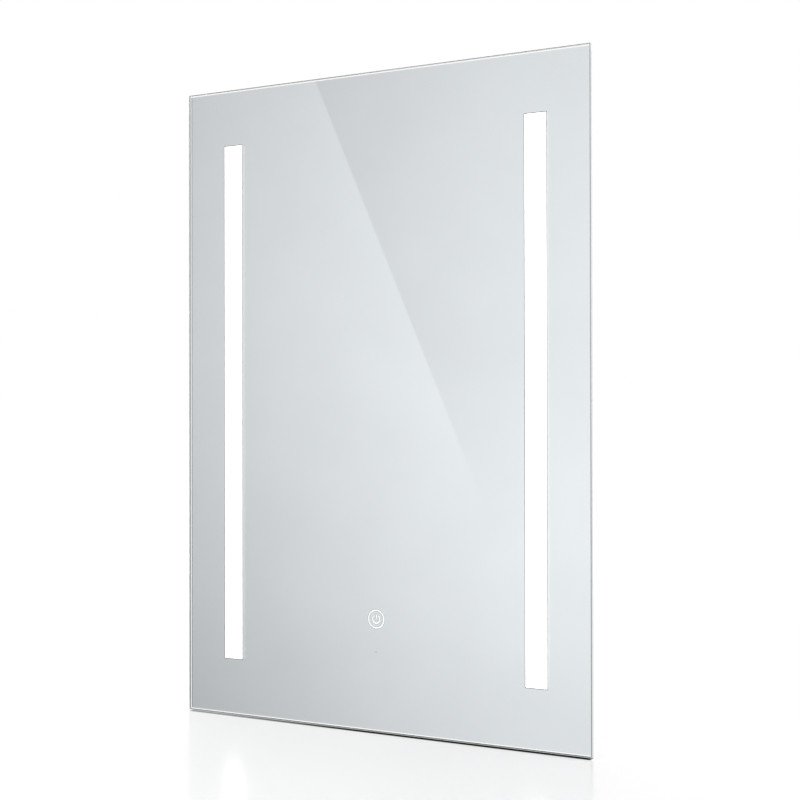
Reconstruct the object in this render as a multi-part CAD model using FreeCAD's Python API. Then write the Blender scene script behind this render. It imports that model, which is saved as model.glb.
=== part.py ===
"""Lighted bathroom mirror, 500 x 700 mm, as an assembly of separate pieces in millimetres.

+Z is up and the mirror faces -Y. The wall is the plane Y = 0. The origin lies midway between the two keyhole
entry holes that the mirror hangs by.
"""

import FreeCAD
import Part

import math
import os

Vector = FreeCAD.Vector

# ---- Driving dimensions -------------------------------------------------------------------------------

# Mirror glass, and the silvering on its back
GLASS_WIDTH = 500.0
GLASS_HEIGHT = 700.0
GLASS_THICKNESS = 5.0
GLASS_ARRIS = 0.8
SILVERING_THICKNESS = 0.2
SILVERING_MARGIN = 2.0

# Windows etched out of the silvering in front of the light channels
WINDOW_WIDTH = 24.0
WINDOW_SIDE_INSET = 49.5
WINDOW_END_INSET = 62.5

# Touch ring with its power symbol, and the pinhole below
ICON_RISE = 119.0
ICON_LINE = 1.0
ICON_RING_RADIUS = 9.4
ICON_ARC_RADIUS = 4.4
ICON_ARC_GAP_ANGLE = 80.0
ICON_STROKE_LENGTH = 5.0
PINHOLE_RADIUS = 0.6
PINHOLE_DROP = 35.0

# Frame of mitred channel rails, bonded to the back of the glass
RAIL_DEPTH = 25.0
RAIL_FLANGE = 14.0
RAIL_WALL = 1.5
RAIL_GAP = 3.3
CORNER_KEY_LEG = 40.0
CORNER_KEY_THICKNESS = 3.0
CORNER_KEY_CLEARANCE = 0.3
CORNER_SCREW_SETBACK = 30.0
CABLE_OUTLET_RADIUS = 5.2

# Bonding tape
TAPE_THICKNESS = 1.0
FRAME_TAPE_WIDTH = 12.0

# Keyhole hanger plates, flush with the wall, and the bumpers level with them
HANGER_DROP = 54.0
HANGER_SIDE_INSET = 100.0
HANGER_WIDTH = 50.0
HANGER_THICKNESS = 2.0
HANGER_BELOW = 12.0
HANGER_EDGE = 1.5
HANGER_CORNER = 3.0
HANGER_SCREW_SPACING = 34.0
KEYHOLE_ENTRY_RADIUS = 5.0
KEYHOLE_SLOT_WIDTH = 5.0
KEYHOLE_TRAVEL = 9.0
BUMPER_RADIUS = 6.0
BUMPER_SETBACK = 15.0

# Light channels, one behind each window
CHANNEL_DEPTH = 16.0
CHANNEL_WALL = 1.2
CHANNEL_FLOOR = 1.5
CHANNEL_WING = 5.0
CHANNEL_OVERLAP = 1.5
CHANNEL_OVERRUN = 7.5
CHANNEL_LEDGE = 1.0
CHANNEL_GROOVE_WIDTH = 2.0
CHANNEL_GROOVE_DEPTH = 0.5
CHANNEL_GROOVE_X = 6.0
DIFFUSER_THICKNESS = 2.0
DIFFUSER_CLEARANCE = 0.2
END_CAP_THICKNESS = 2.0
END_CAP_SPIGOT = 4.0
END_CAP_CLEARANCE = 0.2
LED_BOARD_WIDTH = 12.0
LED_BOARD_THICKNESS = 1.0
LED_BOARD_MARGIN = 10.0
LED_PITCH = 16.7
LED_SIZE = 3.0
LED_HEIGHT = 0.8
LED_CONNECTOR_LENGTH = 8.0
LED_CONNECTOR_HEIGHT = 6.0
LEAD_ENTRY_LED = 3

# Moulded cases: the outer radius of their corners
CASE_CORNER = 3.5

# Service plate, which carries the driver and the terminal box
SERVICE_RISE = 375.0
SERVICE_PLATE_WIDTH = 176.0
SERVICE_PLATE_HEIGHT = 126.0
SERVICE_PLATE_THICKNESS = 1.0
SERVICE_PLATE_CORNER = 6.0
SERVICE_TAPE_WIDTH = 24.0
SERVICE_TAPE_COUNT = 3
SERVICE_TAPE_MARGIN = 5.0

# LED driver
DRIVER_LENGTH = 140.0
DRIVER_HEIGHT = 44.0
DRIVER_THICKNESS = 20.0
DRIVER_WALL = 1.5
DRIVER_FLOOR = 2.0
DRIVER_RISE = 34.0
DRIVER_LUG_LENGTH = 9.0
DRIVER_LUG_WIDTH = 14.0
DRIVER_LUG_THICKNESS = 3.0
DRIVER_LIP = 3.0
DRIVER_RIB = 0.8
DRIVER_RIB_PITCH = 5.0
DRIVER_RIB_COUNT = 8
DRIVER_RIB_MARGIN = 5.0
DRIVER_BOARD_THICKNESS = 1.6
DRIVER_BOARD_CLEARANCE = 1.6
DRIVER_POST_HEIGHT = 2.6
DRIVER_POST_RADIUS = 2.5
DRIVER_POST_INSET = 8.0
DRIVER_CONNECTOR = (10.0, 12.0, 8.0)
DRIVER_CONNECTOR_SETBACK = 4.0
TRANSFORMER = (24.0, 22.0, 10.0)
TRANSFORMER_OFFSET = 6.0
CAPACITOR_RADIUS = 4.5
CAPACITOR_LENGTH = 16.0
CAPACITOR_PLACES = ((-38.0, 8.0), (-38.0, -8.0), (34.0, 8.0))

# Terminal box for the mains cable
TERMINAL_WIDTH = 70.0
TERMINAL_HEIGHT = 50.0
TERMINAL_DEPTH = 20.0
TERMINAL_WALL = 2.0
TERMINAL_DROP = 28.0
TERMINAL_X = 20.0
LID_THICKNESS = 2.0
LID_GAP = 0.2
LID_LIP_DEPTH = 2.5
LID_LIP_THICKNESS = 1.5
LID_LIP_CLEARANCE = 0.3
LID_LIP_HINGE_CLEARANCE = 10.0
LID_TAB_WIDTH = 16.0
LID_TAB_LENGTH = 3.0
HINGE_RADIUS = 2.5
HINGE_PIN_RADIUS = 1.0
HINGE_RUNNING_CLEARANCE = 0.05
HINGE_OFFSET = 3.0
HINGE_EAR_THICKNESS = 6.0
HINGE_KNUCKLE_LENGTH = 30.0
HINGE_END_CLEARANCE = 0.3
TERMINAL_BLOCK = (22.0, 13.0, 18.0)
TERMINAL_POLE_SPACING = 9.0
TERMINAL_WIRE_LEVEL = 5.6
TERMINAL_SCREW_RADIUS = 1.6
TERMINAL_SCREW_LENGTH = 5.0
TERMINAL_SCREW_SPACING = 12.0
TERMINAL_SCREW_RECESS = 1.0
TERMINAL_SCREW_SLOT = 0.6
TERMINAL_FIXING_INSET = 8.0

# Cable gland in the floor of the terminal box
GLAND_SIDE_INSET = 18.0
GLAND_BORE_RADIUS = 3.5
GLAND_THREAD_RADIUS = 6.0
GLAND_FLATS = 15.0
GLAND_COLLAR_LENGTH = 5.0
GLAND_NUT_LENGTH = 12.0
GLAND_NUT_RADIUS = 7.5
GLAND_NUT_RIBS = 12
GLAND_LOCKNUT_LENGTH = 4.0
GLAND_NECK_LENGTH = 9.0
GLAND_THREAD_CLEARANCE = 0.05

# Touch sensor behind the icon
SENSOR_SIZE = 50.0
SENSOR_DEPTH = 10.5
SENSOR_WALL = 1.5
SENSOR_TAPE_WIDTH = 4.0
SENSOR_RIB = 1.0
SENSOR_BOARD_THICKNESS = 1.2
SENSOR_BOARD_CLEARANCE = 0.3
SENSOR_PORT_OFFSET = 8.0
ICON_DIFFUSER_RADIUS = 12.0
ICON_DIFFUSER_THICKNESS = 1.5
ICON_LED_RADIUS = 7.0
ICON_LED_COUNT = 4
ELECTRODE_INNER_RADIUS = 13.5
ELECTRODE_OUTER_RADIUS = 18.0
ELECTRODE_THICKNESS = 0.3
ELECTRODE_LEG_WIDTH = 3.0

# Leads, and the clips that hold them to the back of the glass
LEAD_RADIUS = 2.0
MAINS_LEAD_RADIUS = 3.0
CORE_RADIUS = 1.0
CORE_SPREAD = 1.3
LEAD_FIT = 0.05
LEAD_TURN_RADIUS = 24.0
LEAD_EASE_RADIUS = 60.0
CORE_TURN_RADIUS = 4.0
LEAD_TURN_OUT = 28.0
LEAD_EASE_LENGTH = 40.0
LEAD_TAIL = 5.0
CORE_TAIL = 3.0
LED_LEAD_STRAIGHT = 22.0
CLIP_WIDTH = 10.0
CLIP_LENGTH = 12.0
CLIP_BASE = 1.5
CLIP_WALL = 1.2
TOUCH_CLIP_RISES = (50.0, 105.0, 160.0)
TOUCH_CLIP_REACH = 36.0
LED_CLIP_REACH = 25.0
LED_CLIP_SETBACK = 17.0
GROMMET_FLANGE_RADIUS = 4.2
GROMMET_NECK_RADIUS = 3.2
GROMMET_FLANGE = 1.0

# Screws: shank radius, head radius and head height
FRAME_SCREW_RADIUS = 2.0
FRAME_SCREW_HEAD_RADIUS = 3.6
FRAME_SCREW_HEAD = 1.7
HANGER_SCREW_RADIUS = 1.75
HANGER_SCREW_HEAD_RADIUS = 3.4
HANGER_SCREW_LENGTH = 6.0
CASE_SCREW_RADIUS = 1.5
CASE_SCREW_HEAD_RADIUS = 2.8
CASE_SCREW_HEAD = 2.0
SCREW_FIT = 0.05
CROSS_WIDTH = 0.8
CROSS_DEPTH = 0.9
CROSS_SHARE = 1.3

# ---- Places that follow from the dimensions -----------------------------------------------------------

BOTTOM_Z = HANGER_DROP - GLASS_HEIGHT
MIDDLE_Z = BOTTOM_Z + GLASS_HEIGHT / 2

RAIL_BACK_Y = -HANGER_THICKNESS
RAIL_FRONT_Y = RAIL_BACK_Y - RAIL_DEPTH
SILVERING_Y = RAIL_FRONT_Y - TAPE_THICKNESS
GLASS_BACK_Y = SILVERING_Y - SILVERING_THICKNESS
GLASS_FRONT_Y = GLASS_BACK_Y - GLASS_THICKNESS

WINDOW_X = GLASS_WIDTH / 2 - WINDOW_SIDE_INSET - WINDOW_WIDTH / 2
WINDOW_HEIGHT = GLASS_HEIGHT - 2 * WINDOW_END_INSET

CHANNEL_INNER = WINDOW_WIDTH / 2 + CHANNEL_OVERLAP
CHANNEL_OUTER = CHANNEL_INNER + CHANNEL_WALL
CHANNEL_EDGE = CHANNEL_OUTER + CHANNEL_WING
CHANNEL_LENGTH = WINDOW_HEIGHT + 2 * CHANNEL_OVERRUN
CHANNEL_BACK_Y = RAIL_FRONT_Y + CHANNEL_DEPTH
CHANNEL_FLOOR_Y = CHANNEL_BACK_Y - CHANNEL_FLOOR
LED_BOARD_Y = CHANNEL_FLOOR_Y - LED_BOARD_THICKNESS
LED_BOARD_LENGTH = CHANNEL_LENGTH - 2 * LED_BOARD_MARGIN
LED_COUNT = int(LED_BOARD_LENGTH / LED_PITCH)
LED_LEAD_Y = LED_BOARD_Y - LED_CONNECTOR_HEIGHT / 2
LED_LEAD_Z = MIDDLE_Z - (LED_COUNT / 2 - LEAD_ENTRY_LED) * LED_PITCH

FRAME_HALF_WIDTH = WINDOW_X + CHANNEL_EDGE + RAIL_GAP + RAIL_FLANGE
FRAME_INSET = GLASS_WIDTH / 2 - FRAME_HALF_WIDTH
FRAME_HALF_HEIGHT = GLASS_HEIGHT / 2 - FRAME_INSET
FLANGE_MIDDLE = RAIL_FLANGE / 2
HANGER_X = GLASS_WIDTH / 2 - HANGER_SIDE_INSET
BUMPER_X = FRAME_HALF_WIDTH - CORNER_SCREW_SETBACK - BUMPER_SETBACK
KEY_BACK_Y = RAIL_BACK_Y - RAIL_WALL

PLATE_Z = BOTTOM_Z + SERVICE_RISE
PLATE_Y = RAIL_FRONT_Y + SERVICE_PLATE_THICKNESS

DRIVER_Z = PLATE_Z + DRIVER_RISE
DRIVER_BACK_Y = PLATE_Y + DRIVER_THICKNESS
DRIVER_COVER_Y = DRIVER_BACK_Y - DRIVER_WALL
DRIVER_BOARD_Y = PLATE_Y + DRIVER_FLOOR + DRIVER_POST_HEIGHT + DRIVER_BOARD_THICKNESS
DRIVER_LEAD_Y = DRIVER_BOARD_Y + DRIVER_CONNECTOR[2] / 2

TERMINAL_Z = PLATE_Z - TERMINAL_DROP
TERMINAL_TOP_Z = TERMINAL_Z + TERMINAL_HEIGHT / 2
TERMINAL_FLOOR_Z = TERMINAL_Z - TERMINAL_HEIGHT / 2
TERMINAL_INNER_Y = PLATE_Y + TERMINAL_WALL
TERMINAL_RIM_Y = PLATE_Y + TERMINAL_DEPTH
LID_INNER_Y = TERMINAL_RIM_Y + LID_GAP
LID_OUTER_Y = LID_INNER_Y + LID_THICKNESS
HINGE_Y = LID_OUTER_Y - HINGE_RADIUS
HINGE_Z = TERMINAL_TOP_Z + HINGE_OFFSET
BLOCK_Y = DRIVER_LEAD_Y - TERMINAL_WIRE_LEVEL
GLAND_X = TERMINAL_X + TERMINAL_WIDTH / 2 - GLAND_SIDE_INSET
GLAND_Y = (PLATE_Y + TERMINAL_RIM_Y) / 2

SENSOR_Z = BOTTOM_Z + ICON_RISE
SENSOR_FRONT_Y = SILVERING_Y + TAPE_THICKNESS
SENSOR_BACK_Y = SENSOR_FRONT_Y + SENSOR_DEPTH
SENSOR_BOARD_BACK_Y = SENSOR_BACK_Y - SENSOR_WALL - SENSOR_RIB
SENSOR_BOARD_Y = SENSOR_BOARD_BACK_Y - SENSOR_BOARD_THICKNESS
LEAD_Y = SENSOR_BOARD_Y - LEAD_RADIUS - LEAD_FIT

SIDES = (("left", -1), ("right", 1))


# ---- Small tools --------------------------------------------------------------------------------------

def span(middle, size):
    """The low and high ends of a size about its middle."""
    return middle - size / 2, middle + size / 2


def block(x, y, z):
    """A box from three (low, high) pairs, given in either order."""
    x, y, z = sorted(x), sorted(y), sorted(z)
    return Part.makeBox(x[1] - x[0], y[1] - y[0], z[1] - z[0], Vector(x[0], y[0], z[0]))


def rounded_block(x, y, z, radius):
    """A box whose four edges from the glass side to the wall side are rounded."""
    shape = block(x, y, z)
    return shape.makeFillet(radius, edges_along_y(shape))


def rod(start, end, radius):
    """A cylinder between two points."""
    axis = Vector(*end) - Vector(*start)
    return Part.makeCylinder(radius, axis.Length, Vector(*start), axis)


def cone(start, end, start_radius, end_radius):
    """A cone frustum between two points."""
    axis = Vector(*end) - Vector(*start)
    return Part.makeCone(start_radius, end_radius, axis.Length, Vector(*start), axis)


def upright_plate(outline, y):
    """A plate whose outline is (x, z) points and whose faces lie at the two values of y."""
    low, high = sorted(y)
    wire = Part.makePolygon([Vector(x, low, z) for x, z in outline + outline[:1]])
    return Part.Face(wire).extrude(Vector(0, high - low, 0))


def bar(section, z):
    """A straight bar whose section is (x, y) points and whose ends lie at the two values of z."""
    low, high = sorted(z)
    wire = Part.makePolygon([Vector(x, y, low) for x, y in section + section[:1]])
    return Part.Face(wire).extrude(Vector(0, 0, high - low))


def hexagon(x, y, flats, z):
    """An upright hexagonal bar with two of its flats facing the wall and the glass."""
    corner = flats / math.sqrt(3)
    turns = [math.radians(60 * step) for step in range(6)]
    return bar([(x + corner * math.cos(turn), y + corner * math.sin(turn)) for turn in turns], z)


def edges_along_y(shape):
    """The straight edges of a block that run from its glass side to its wall side."""
    return [edge for edge in shape.Edges if abs(edge.tangentAt(edge.FirstParameter).y) > 0.99]


def group(solids):
    """Separate solids that share one node."""
    return Part.makeCompound(list(solids))


def rounded_path(points, radii):
    """A wire through the points, with a tangent arc of the given radius at each inner point."""
    points = [Vector(*point) for point in points]
    edges = []
    start = points[0]
    for before, corner, after, radius in zip(points, points[1:], points[2:], radii):
        arriving = (corner - before).normalize()
        leaving = (after - corner).normalize()
        turn = arriving.getAngle(leaving)
        if turn < 1e-4:
            continue
        setback = radius * math.tan(turn / 2)
        arc_start = corner - arriving * setback
        arc_end = corner + leaving * setback
        inward = (leaving - arriving).normalize()
        arc_middle = corner + inward * (radius / math.cos(turn / 2) - radius)
        edges.append(Part.LineSegment(start, arc_start).toShape())
        edges.append(Part.Arc(arc_start, arc_middle, arc_end).toShape())
        start = arc_end
    edges.append(Part.LineSegment(start, points[-1]).toShape())
    return Part.Wire(edges)


def lead(name, points, radius, turn_radii):
    """A round lead along a rounded path, with its turn radii and volume printed."""
    path = rounded_path(points, turn_radii)
    first = Vector(*points[1]) - Vector(*points[0])
    section = Part.Wire(Part.makeCircle(radius, Vector(*points[0]), first))
    tube = path.makePipeShell([section], True, False)
    expected = math.pi * radius ** 2 * path.Length
    print(f"{name}: turn radii {turn_radii} mm, length {path.Length:.1f} mm, "
          f"volume {tube.Volume:.1f} of {expected:.1f} mm3")
    return tube


def cross_recess(x, y, z, head_radius):
    """The two crossed slots that are cut into a screw's head at y, from the wall side."""
    reach = (y - CROSS_DEPTH, y)
    length = head_radius * CROSS_SHARE
    return block(span(x, length), reach, span(z, CROSS_WIDTH)).fuse(
        block(span(x, CROSS_WIDTH), reach, span(z, length)))


def pan_screw(x, z, seat_y, tip_y, radius, head_radius, head_height):
    """A pan-head screw driven from the wall side, with its head on seat_y and its tip at tip_y."""
    head_y = seat_y + head_height
    shank = rod((x, tip_y, z), (x, seat_y, z), radius)
    head = cone((x, seat_y, z), (x, head_y, z), head_radius, head_radius * 0.8)
    return shank.fuse(head).cut(cross_recess(x, head_y, z, head_radius))


def sunk_screw(x, z, face_y, length, radius, head_radius):
    """A countersunk screw driven from the wall side, flush with face_y."""
    neck_y = face_y - (head_radius - radius)
    head = cone((x, neck_y, z), (x, face_y, z), radius, head_radius)
    shank = rod((x, face_y - length, z), (x, neck_y, z), radius)
    return head.fuse(shank).cut(cross_recess(x, face_y, z, head_radius))


# ---- Glass and silvering ------------------------------------------------------------------------------

def mirror_glass():
    """The sheet of glass, with an arris ground along every edge."""
    sheet = block(span(0, GLASS_WIDTH), (GLASS_FRONT_Y, GLASS_BACK_Y), span(MIDDLE_Z, GLASS_HEIGHT))
    return sheet.makeChamfer(GLASS_ARRIS, sheet.Edges)


def power_symbol(y):
    """The open arc and the stroke of the power symbol, cut right through the silvering."""
    line = ICON_LINE / 2
    ring = rod((0, y[0], SENSOR_Z), (0, y[1], SENSOR_Z), ICON_ARC_RADIUS + line)
    ring = ring.cut(rod((0, y[0], SENSOR_Z), (0, y[1], SENSOR_Z), ICON_ARC_RADIUS - line))
    half_gap = math.radians(ICON_ARC_GAP_ANGLE / 2)
    reach = 2 * ICON_ARC_RADIUS
    wedge = [(0, SENSOR_Z),
             (reach * math.sin(half_gap), SENSOR_Z + reach * math.cos(half_gap)),
             (-reach * math.sin(half_gap), SENSOR_Z + reach * math.cos(half_gap))]
    arc = ring.cut(upright_plate(wedge, y))
    stroke_top = SENSOR_Z + ICON_ARC_RADIUS + line
    stroke = block(span(0, ICON_LINE), y, (stroke_top - ICON_STROKE_LENGTH, stroke_top))
    return arc.fuse(stroke)


def silvering():
    """The silvered coat on the glass's back, with its windows, touch ring, symbol and pinhole."""
    y = (GLASS_BACK_Y, SILVERING_Y)
    coat = block(span(0, GLASS_WIDTH - 2 * SILVERING_MARGIN), y,
                 span(MIDDLE_Z, GLASS_HEIGHT - 2 * SILVERING_MARGIN))
    for _, sign in SIDES:
        coat = coat.cut(block(span(sign * WINDOW_X, WINDOW_WIDTH), y, span(MIDDLE_Z, WINDOW_HEIGHT)))
    line = ICON_LINE / 2
    ring = rod((0, y[0], SENSOR_Z), (0, y[1], SENSOR_Z), ICON_RING_RADIUS + line)
    ring = ring.cut(rod((0, y[0], SENSOR_Z), (0, y[1], SENSOR_Z), ICON_RING_RADIUS - line))
    pinhole_z = SENSOR_Z - PINHOLE_DROP
    pinhole = rod((0, y[0], pinhole_z), (0, y[1], pinhole_z), PINHOLE_RADIUS)
    return coat.cut([ring, power_symbol(y), pinhole])


# ---- Frame --------------------------------------------------------------------------------------------

def corner_screw_places():
    """The (x, z) of the two screws at each corner of the frame."""
    places = []
    for x_sign in (-1, 1):
        for z_sign in (-1, 1):
            edge_x = x_sign * (FRAME_HALF_WIDTH - FLANGE_MIDDLE)
            edge_z = MIDDLE_Z + z_sign * (FRAME_HALF_HEIGHT - FLANGE_MIDDLE)
            places.append((edge_x, MIDDLE_Z + z_sign * (FRAME_HALF_HEIGHT - CORNER_SCREW_SETBACK)))
            places.append((x_sign * (FRAME_HALF_WIDTH - CORNER_SCREW_SETBACK), edge_z))
    return places


def hanger_screw_places():
    """The (x, z) of the two screws in each hanger plate, on the top rail's back flange."""
    z = MIDDLE_Z + FRAME_HALF_HEIGHT - FLANGE_MIDDLE
    middles = [sign * HANGER_X for _, sign in SIDES]
    return [(middle + sign * HANGER_SCREW_SPACING / 2, z) for middle in middles for _, sign in SIDES]


def cable_outlet(radius, beyond):
    """A cylinder through the bottom rail's web, below the gland, that runs beyond both of its faces."""
    low_z = MIDDLE_Z - FRAME_HALF_HEIGHT
    return rod((GLAND_X, GLAND_Y, low_z - beyond), (GLAND_X, GLAND_Y, low_z + RAIL_WALL + beyond), radius)


def rail(length, turn):
    """A mitred channel rail. At turn 0 it is the top rail, and turn takes it round the frame."""
    height = FRAME_HALF_HEIGHT if turn % 180 == 0 else FRAME_HALF_WIDTH
    section = block(span(0, length), (RAIL_FRONT_Y, RAIL_BACK_Y), (height - RAIL_FLANGE, height))
    hollow = block(span(0, length), (RAIL_FRONT_Y + RAIL_WALL, RAIL_BACK_Y - RAIL_WALL),
                   (height - RAIL_FLANGE, height - RAIL_WALL))
    half = length / 2
    mitre = [(-half, height), (half, height),
             (half - RAIL_FLANGE, height - RAIL_FLANGE), (-half + RAIL_FLANGE, height - RAIL_FLANGE)]
    shape = section.cut(hollow).common(upright_plate(mitre, (RAIL_FRONT_Y, RAIL_BACK_Y)))
    shape.rotate(Vector(0, 0, 0), Vector(0, 1, 0), turn)
    shape.translate(Vector(0, 0, MIDDLE_Z))
    holes = [rod((x, RAIL_BACK_Y - RAIL_WALL, z), (x, RAIL_BACK_Y, z), FRAME_SCREW_RADIUS + SCREW_FIT)
             for x, z in corner_screw_places()]
    holes += [rod((x, RAIL_BACK_Y - RAIL_WALL, z), (x, RAIL_BACK_Y, z), HANGER_SCREW_RADIUS + SCREW_FIT)
              for x, z in hanger_screw_places()]
    return shape.cut(holes + [cable_outlet(CABLE_OUTLET_RADIUS, 0)])


def corner_keys():
    """The flat L-shaped keys that tie the rails together behind the mitres."""
    y = (KEY_BACK_Y - CORNER_KEY_THICKNESS, KEY_BACK_Y)
    outer_x = FRAME_HALF_WIDTH - RAIL_WALL - CORNER_KEY_CLEARANCE
    outer_z = FRAME_HALF_HEIGHT - RAIL_WALL - CORNER_KEY_CLEARANCE
    width = RAIL_FLANGE - RAIL_WALL - CORNER_KEY_CLEARANCE
    holes = [rod((x, y[0], z), (x, y[1], z), FRAME_SCREW_RADIUS + SCREW_FIT)
             for x, z in corner_screw_places()]
    keys = []
    for x_sign in (-1, 1):
        for z_sign in (-1, 1):
            outline = [(outer_x, outer_z), (outer_x - CORNER_KEY_LEG, outer_z),
                       (outer_x - CORNER_KEY_LEG, outer_z - width), (outer_x - width, outer_z - width),
                       (outer_x - width, outer_z - CORNER_KEY_LEG), (outer_x, outer_z - CORNER_KEY_LEG)]
            placed = [(x_sign * x, MIDDLE_Z + z_sign * z) for x, z in outline]
            keys.append(upright_plate(placed, y).cut(holes))
    return group(keys)


def corner_screws():
    """The screws that go through the back flanges into the corner keys."""
    tip_y = KEY_BACK_Y - CORNER_KEY_THICKNESS
    return group(pan_screw(x, z, RAIL_BACK_Y, tip_y, FRAME_SCREW_RADIUS, FRAME_SCREW_HEAD_RADIUS,
                           FRAME_SCREW_HEAD) for x, z in corner_screw_places())


def frame_tape(along_x, sign):
    """One strip of tape between a rail's front flange and the silvering."""
    y = (SILVERING_Y, RAIL_FRONT_Y)
    across = FRAME_HALF_WIDTH - FLANGE_MIDDLE
    upright = FRAME_HALF_HEIGHT - FLANGE_MIDDLE
    if along_x:
        return block(span(0, 2 * across + FRAME_TAPE_WIDTH), y,
                     span(MIDDLE_Z + sign * upright, FRAME_TAPE_WIDTH))
    return block(span(sign * across, FRAME_TAPE_WIDTH), y,
                 span(MIDDLE_Z, 2 * upright - FRAME_TAPE_WIDTH))


# ---- Hanging ------------------------------------------------------------------------------------------

def hanger_plate(x):
    """A keyhole plate: the entry hole is at z = 0 and the slot rises from it."""
    y = (RAIL_BACK_Y, RAIL_BACK_Y + HANGER_THICKNESS)
    top = MIDDLE_Z + FRAME_HALF_HEIGHT - HANGER_EDGE
    plate = block(span(x, HANGER_WIDTH), y, (-HANGER_BELOW, top))
    plate = plate.makeFillet(HANGER_CORNER, edges_along_y(plate))
    entry = rod((x, y[0], 0), (x, y[1], 0), KEYHOLE_ENTRY_RADIUS)
    slot = block(span(x, KEYHOLE_SLOT_WIDTH), y, (0, KEYHOLE_TRAVEL))
    slot_end = rod((x, y[0], KEYHOLE_TRAVEL), (x, y[1], KEYHOLE_TRAVEL), KEYHOLE_SLOT_WIDTH / 2)
    cuts = [entry, slot, slot_end]
    for screw_x, screw_z in hanger_screw_places():
        neck_y = y[1] - (HANGER_SCREW_HEAD_RADIUS - HANGER_SCREW_RADIUS)
        cuts.append(rod((screw_x, y[0], screw_z), (screw_x, y[1], screw_z), HANGER_SCREW_RADIUS + SCREW_FIT))
        cuts.append(cone((screw_x, neck_y, screw_z), (screw_x, y[1], screw_z),
                         HANGER_SCREW_RADIUS + SCREW_FIT, HANGER_SCREW_HEAD_RADIUS + SCREW_FIT))
    return plate.cut(cuts)


def hanger_screws():
    """The countersunk screws that hold the hanger plates to the top rail."""
    return group(sunk_screw(x, z, RAIL_BACK_Y + HANGER_THICKNESS, HANGER_SCREW_LENGTH, HANGER_SCREW_RADIUS,
                            HANGER_SCREW_HEAD_RADIUS) for x, z in hanger_screw_places())


def wall_bumpers():
    """The rubber discs on the bottom rail that rest against the wall."""
    z = MIDDLE_Z - FRAME_HALF_HEIGHT + FLANGE_MIDDLE
    discs = []
    for _, sign in SIDES:
        x = sign * BUMPER_X
        disc = rod((x, RAIL_BACK_Y, z), (x, RAIL_BACK_Y + HANGER_THICKNESS, z), BUMPER_RADIUS)
        rim = max(disc.Edges, key=lambda edge: edge.CenterOfMass.y)
        discs.append(disc.makeFillet(HANGER_THICKNESS / 4, [rim]))
    return group(discs)


# ---- Light channels -----------------------------------------------------------------------------------

def light_channel(sign):
    """The aluminium tray behind one window: floor, walls, diffuser ledges and the wings it is taped by."""
    ledge_y = SILVERING_Y + DIFFUSER_THICKNESS
    half = [(CHANNEL_INNER, CHANNEL_FLOOR_Y),
            (CHANNEL_INNER, ledge_y + CHANNEL_LEDGE),
            (CHANNEL_INNER - CHANNEL_LEDGE, ledge_y + CHANNEL_LEDGE),
            (CHANNEL_INNER - CHANNEL_LEDGE, ledge_y),
            (CHANNEL_INNER, ledge_y),
            (CHANNEL_INNER, RAIL_FRONT_Y),
            (CHANNEL_EDGE, RAIL_FRONT_Y),
            (CHANNEL_EDGE, RAIL_FRONT_Y + CHANNEL_WALL),
            (CHANNEL_OUTER, RAIL_FRONT_Y + CHANNEL_WALL),
            (CHANNEL_OUTER, CHANNEL_BACK_Y),
            (CHANNEL_GROOVE_X + CHANNEL_GROOVE_WIDTH, CHANNEL_BACK_Y),
            (CHANNEL_GROOVE_X + CHANNEL_GROOVE_WIDTH, CHANNEL_BACK_Y - CHANNEL_GROOVE_DEPTH),
            (CHANNEL_GROOVE_X, CHANNEL_BACK_Y - CHANNEL_GROOVE_DEPTH),
            (CHANNEL_GROOVE_X, CHANNEL_BACK_Y)]
    outline = half + [(-x, y) for x, y in reversed(half)]
    middle = sign * WINDOW_X
    tray = bar([(middle + x, y) for x, y in outline], span(MIDDLE_Z, CHANNEL_LENGTH))
    inner_x = sign * (WINDOW_X - CHANNEL_INNER)
    outer_x = sign * (WINDOW_X - CHANNEL_OUTER)
    lead_hole = rod((outer_x, LED_LEAD_Y, LED_LEAD_Z), (inner_x, LED_LEAD_Y, LED_LEAD_Z), GROMMET_NECK_RADIUS)
    return tray.cut(lead_hole)


def light_diffuser(sign):
    """The opal strip in the channel's mouth, pressed against the silvering behind the window."""
    width = 2 * (CHANNEL_INNER - DIFFUSER_CLEARANCE)
    return block(span(sign * WINDOW_X, width), (SILVERING_Y, SILVERING_Y + DIFFUSER_THICKNESS),
                 span(MIDDLE_Z, CHANNEL_LENGTH))


def led_board(sign):
    """The narrow circuit board on the channel's floor."""
    return block(span(sign * WINDOW_X, LED_BOARD_WIDTH), (LED_BOARD_Y, CHANNEL_FLOOR_Y),
                 span(MIDDLE_Z, LED_BOARD_LENGTH))


def leds(sign):
    """The row of LEDs on one board, facing the diffuser."""
    chips = []
    for index in range(LED_COUNT):
        z = MIDDLE_Z + (index - (LED_COUNT - 1) / 2) * LED_PITCH
        chips.append(block(span(sign * WINDOW_X, LED_SIZE), (LED_BOARD_Y - LED_HEIGHT, LED_BOARD_Y),
                           span(z, LED_SIZE)))
    return group(chips)


def led_connectors():
    """The block on each LED board that its lead plugs into, between two LEDs."""
    blocks = []
    for _, sign in SIDES:
        face_x = sign * (WINDOW_X - LED_BOARD_WIDTH / 2)
        far_x = face_x + sign * LED_CONNECTOR_LENGTH
        blocks.append(block((face_x, far_x), (LED_BOARD_Y - LED_CONNECTOR_HEIGHT, LED_BOARD_Y),
                            span(LED_LEAD_Z, LED_CONNECTOR_LENGTH)))
    return group(blocks)


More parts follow.
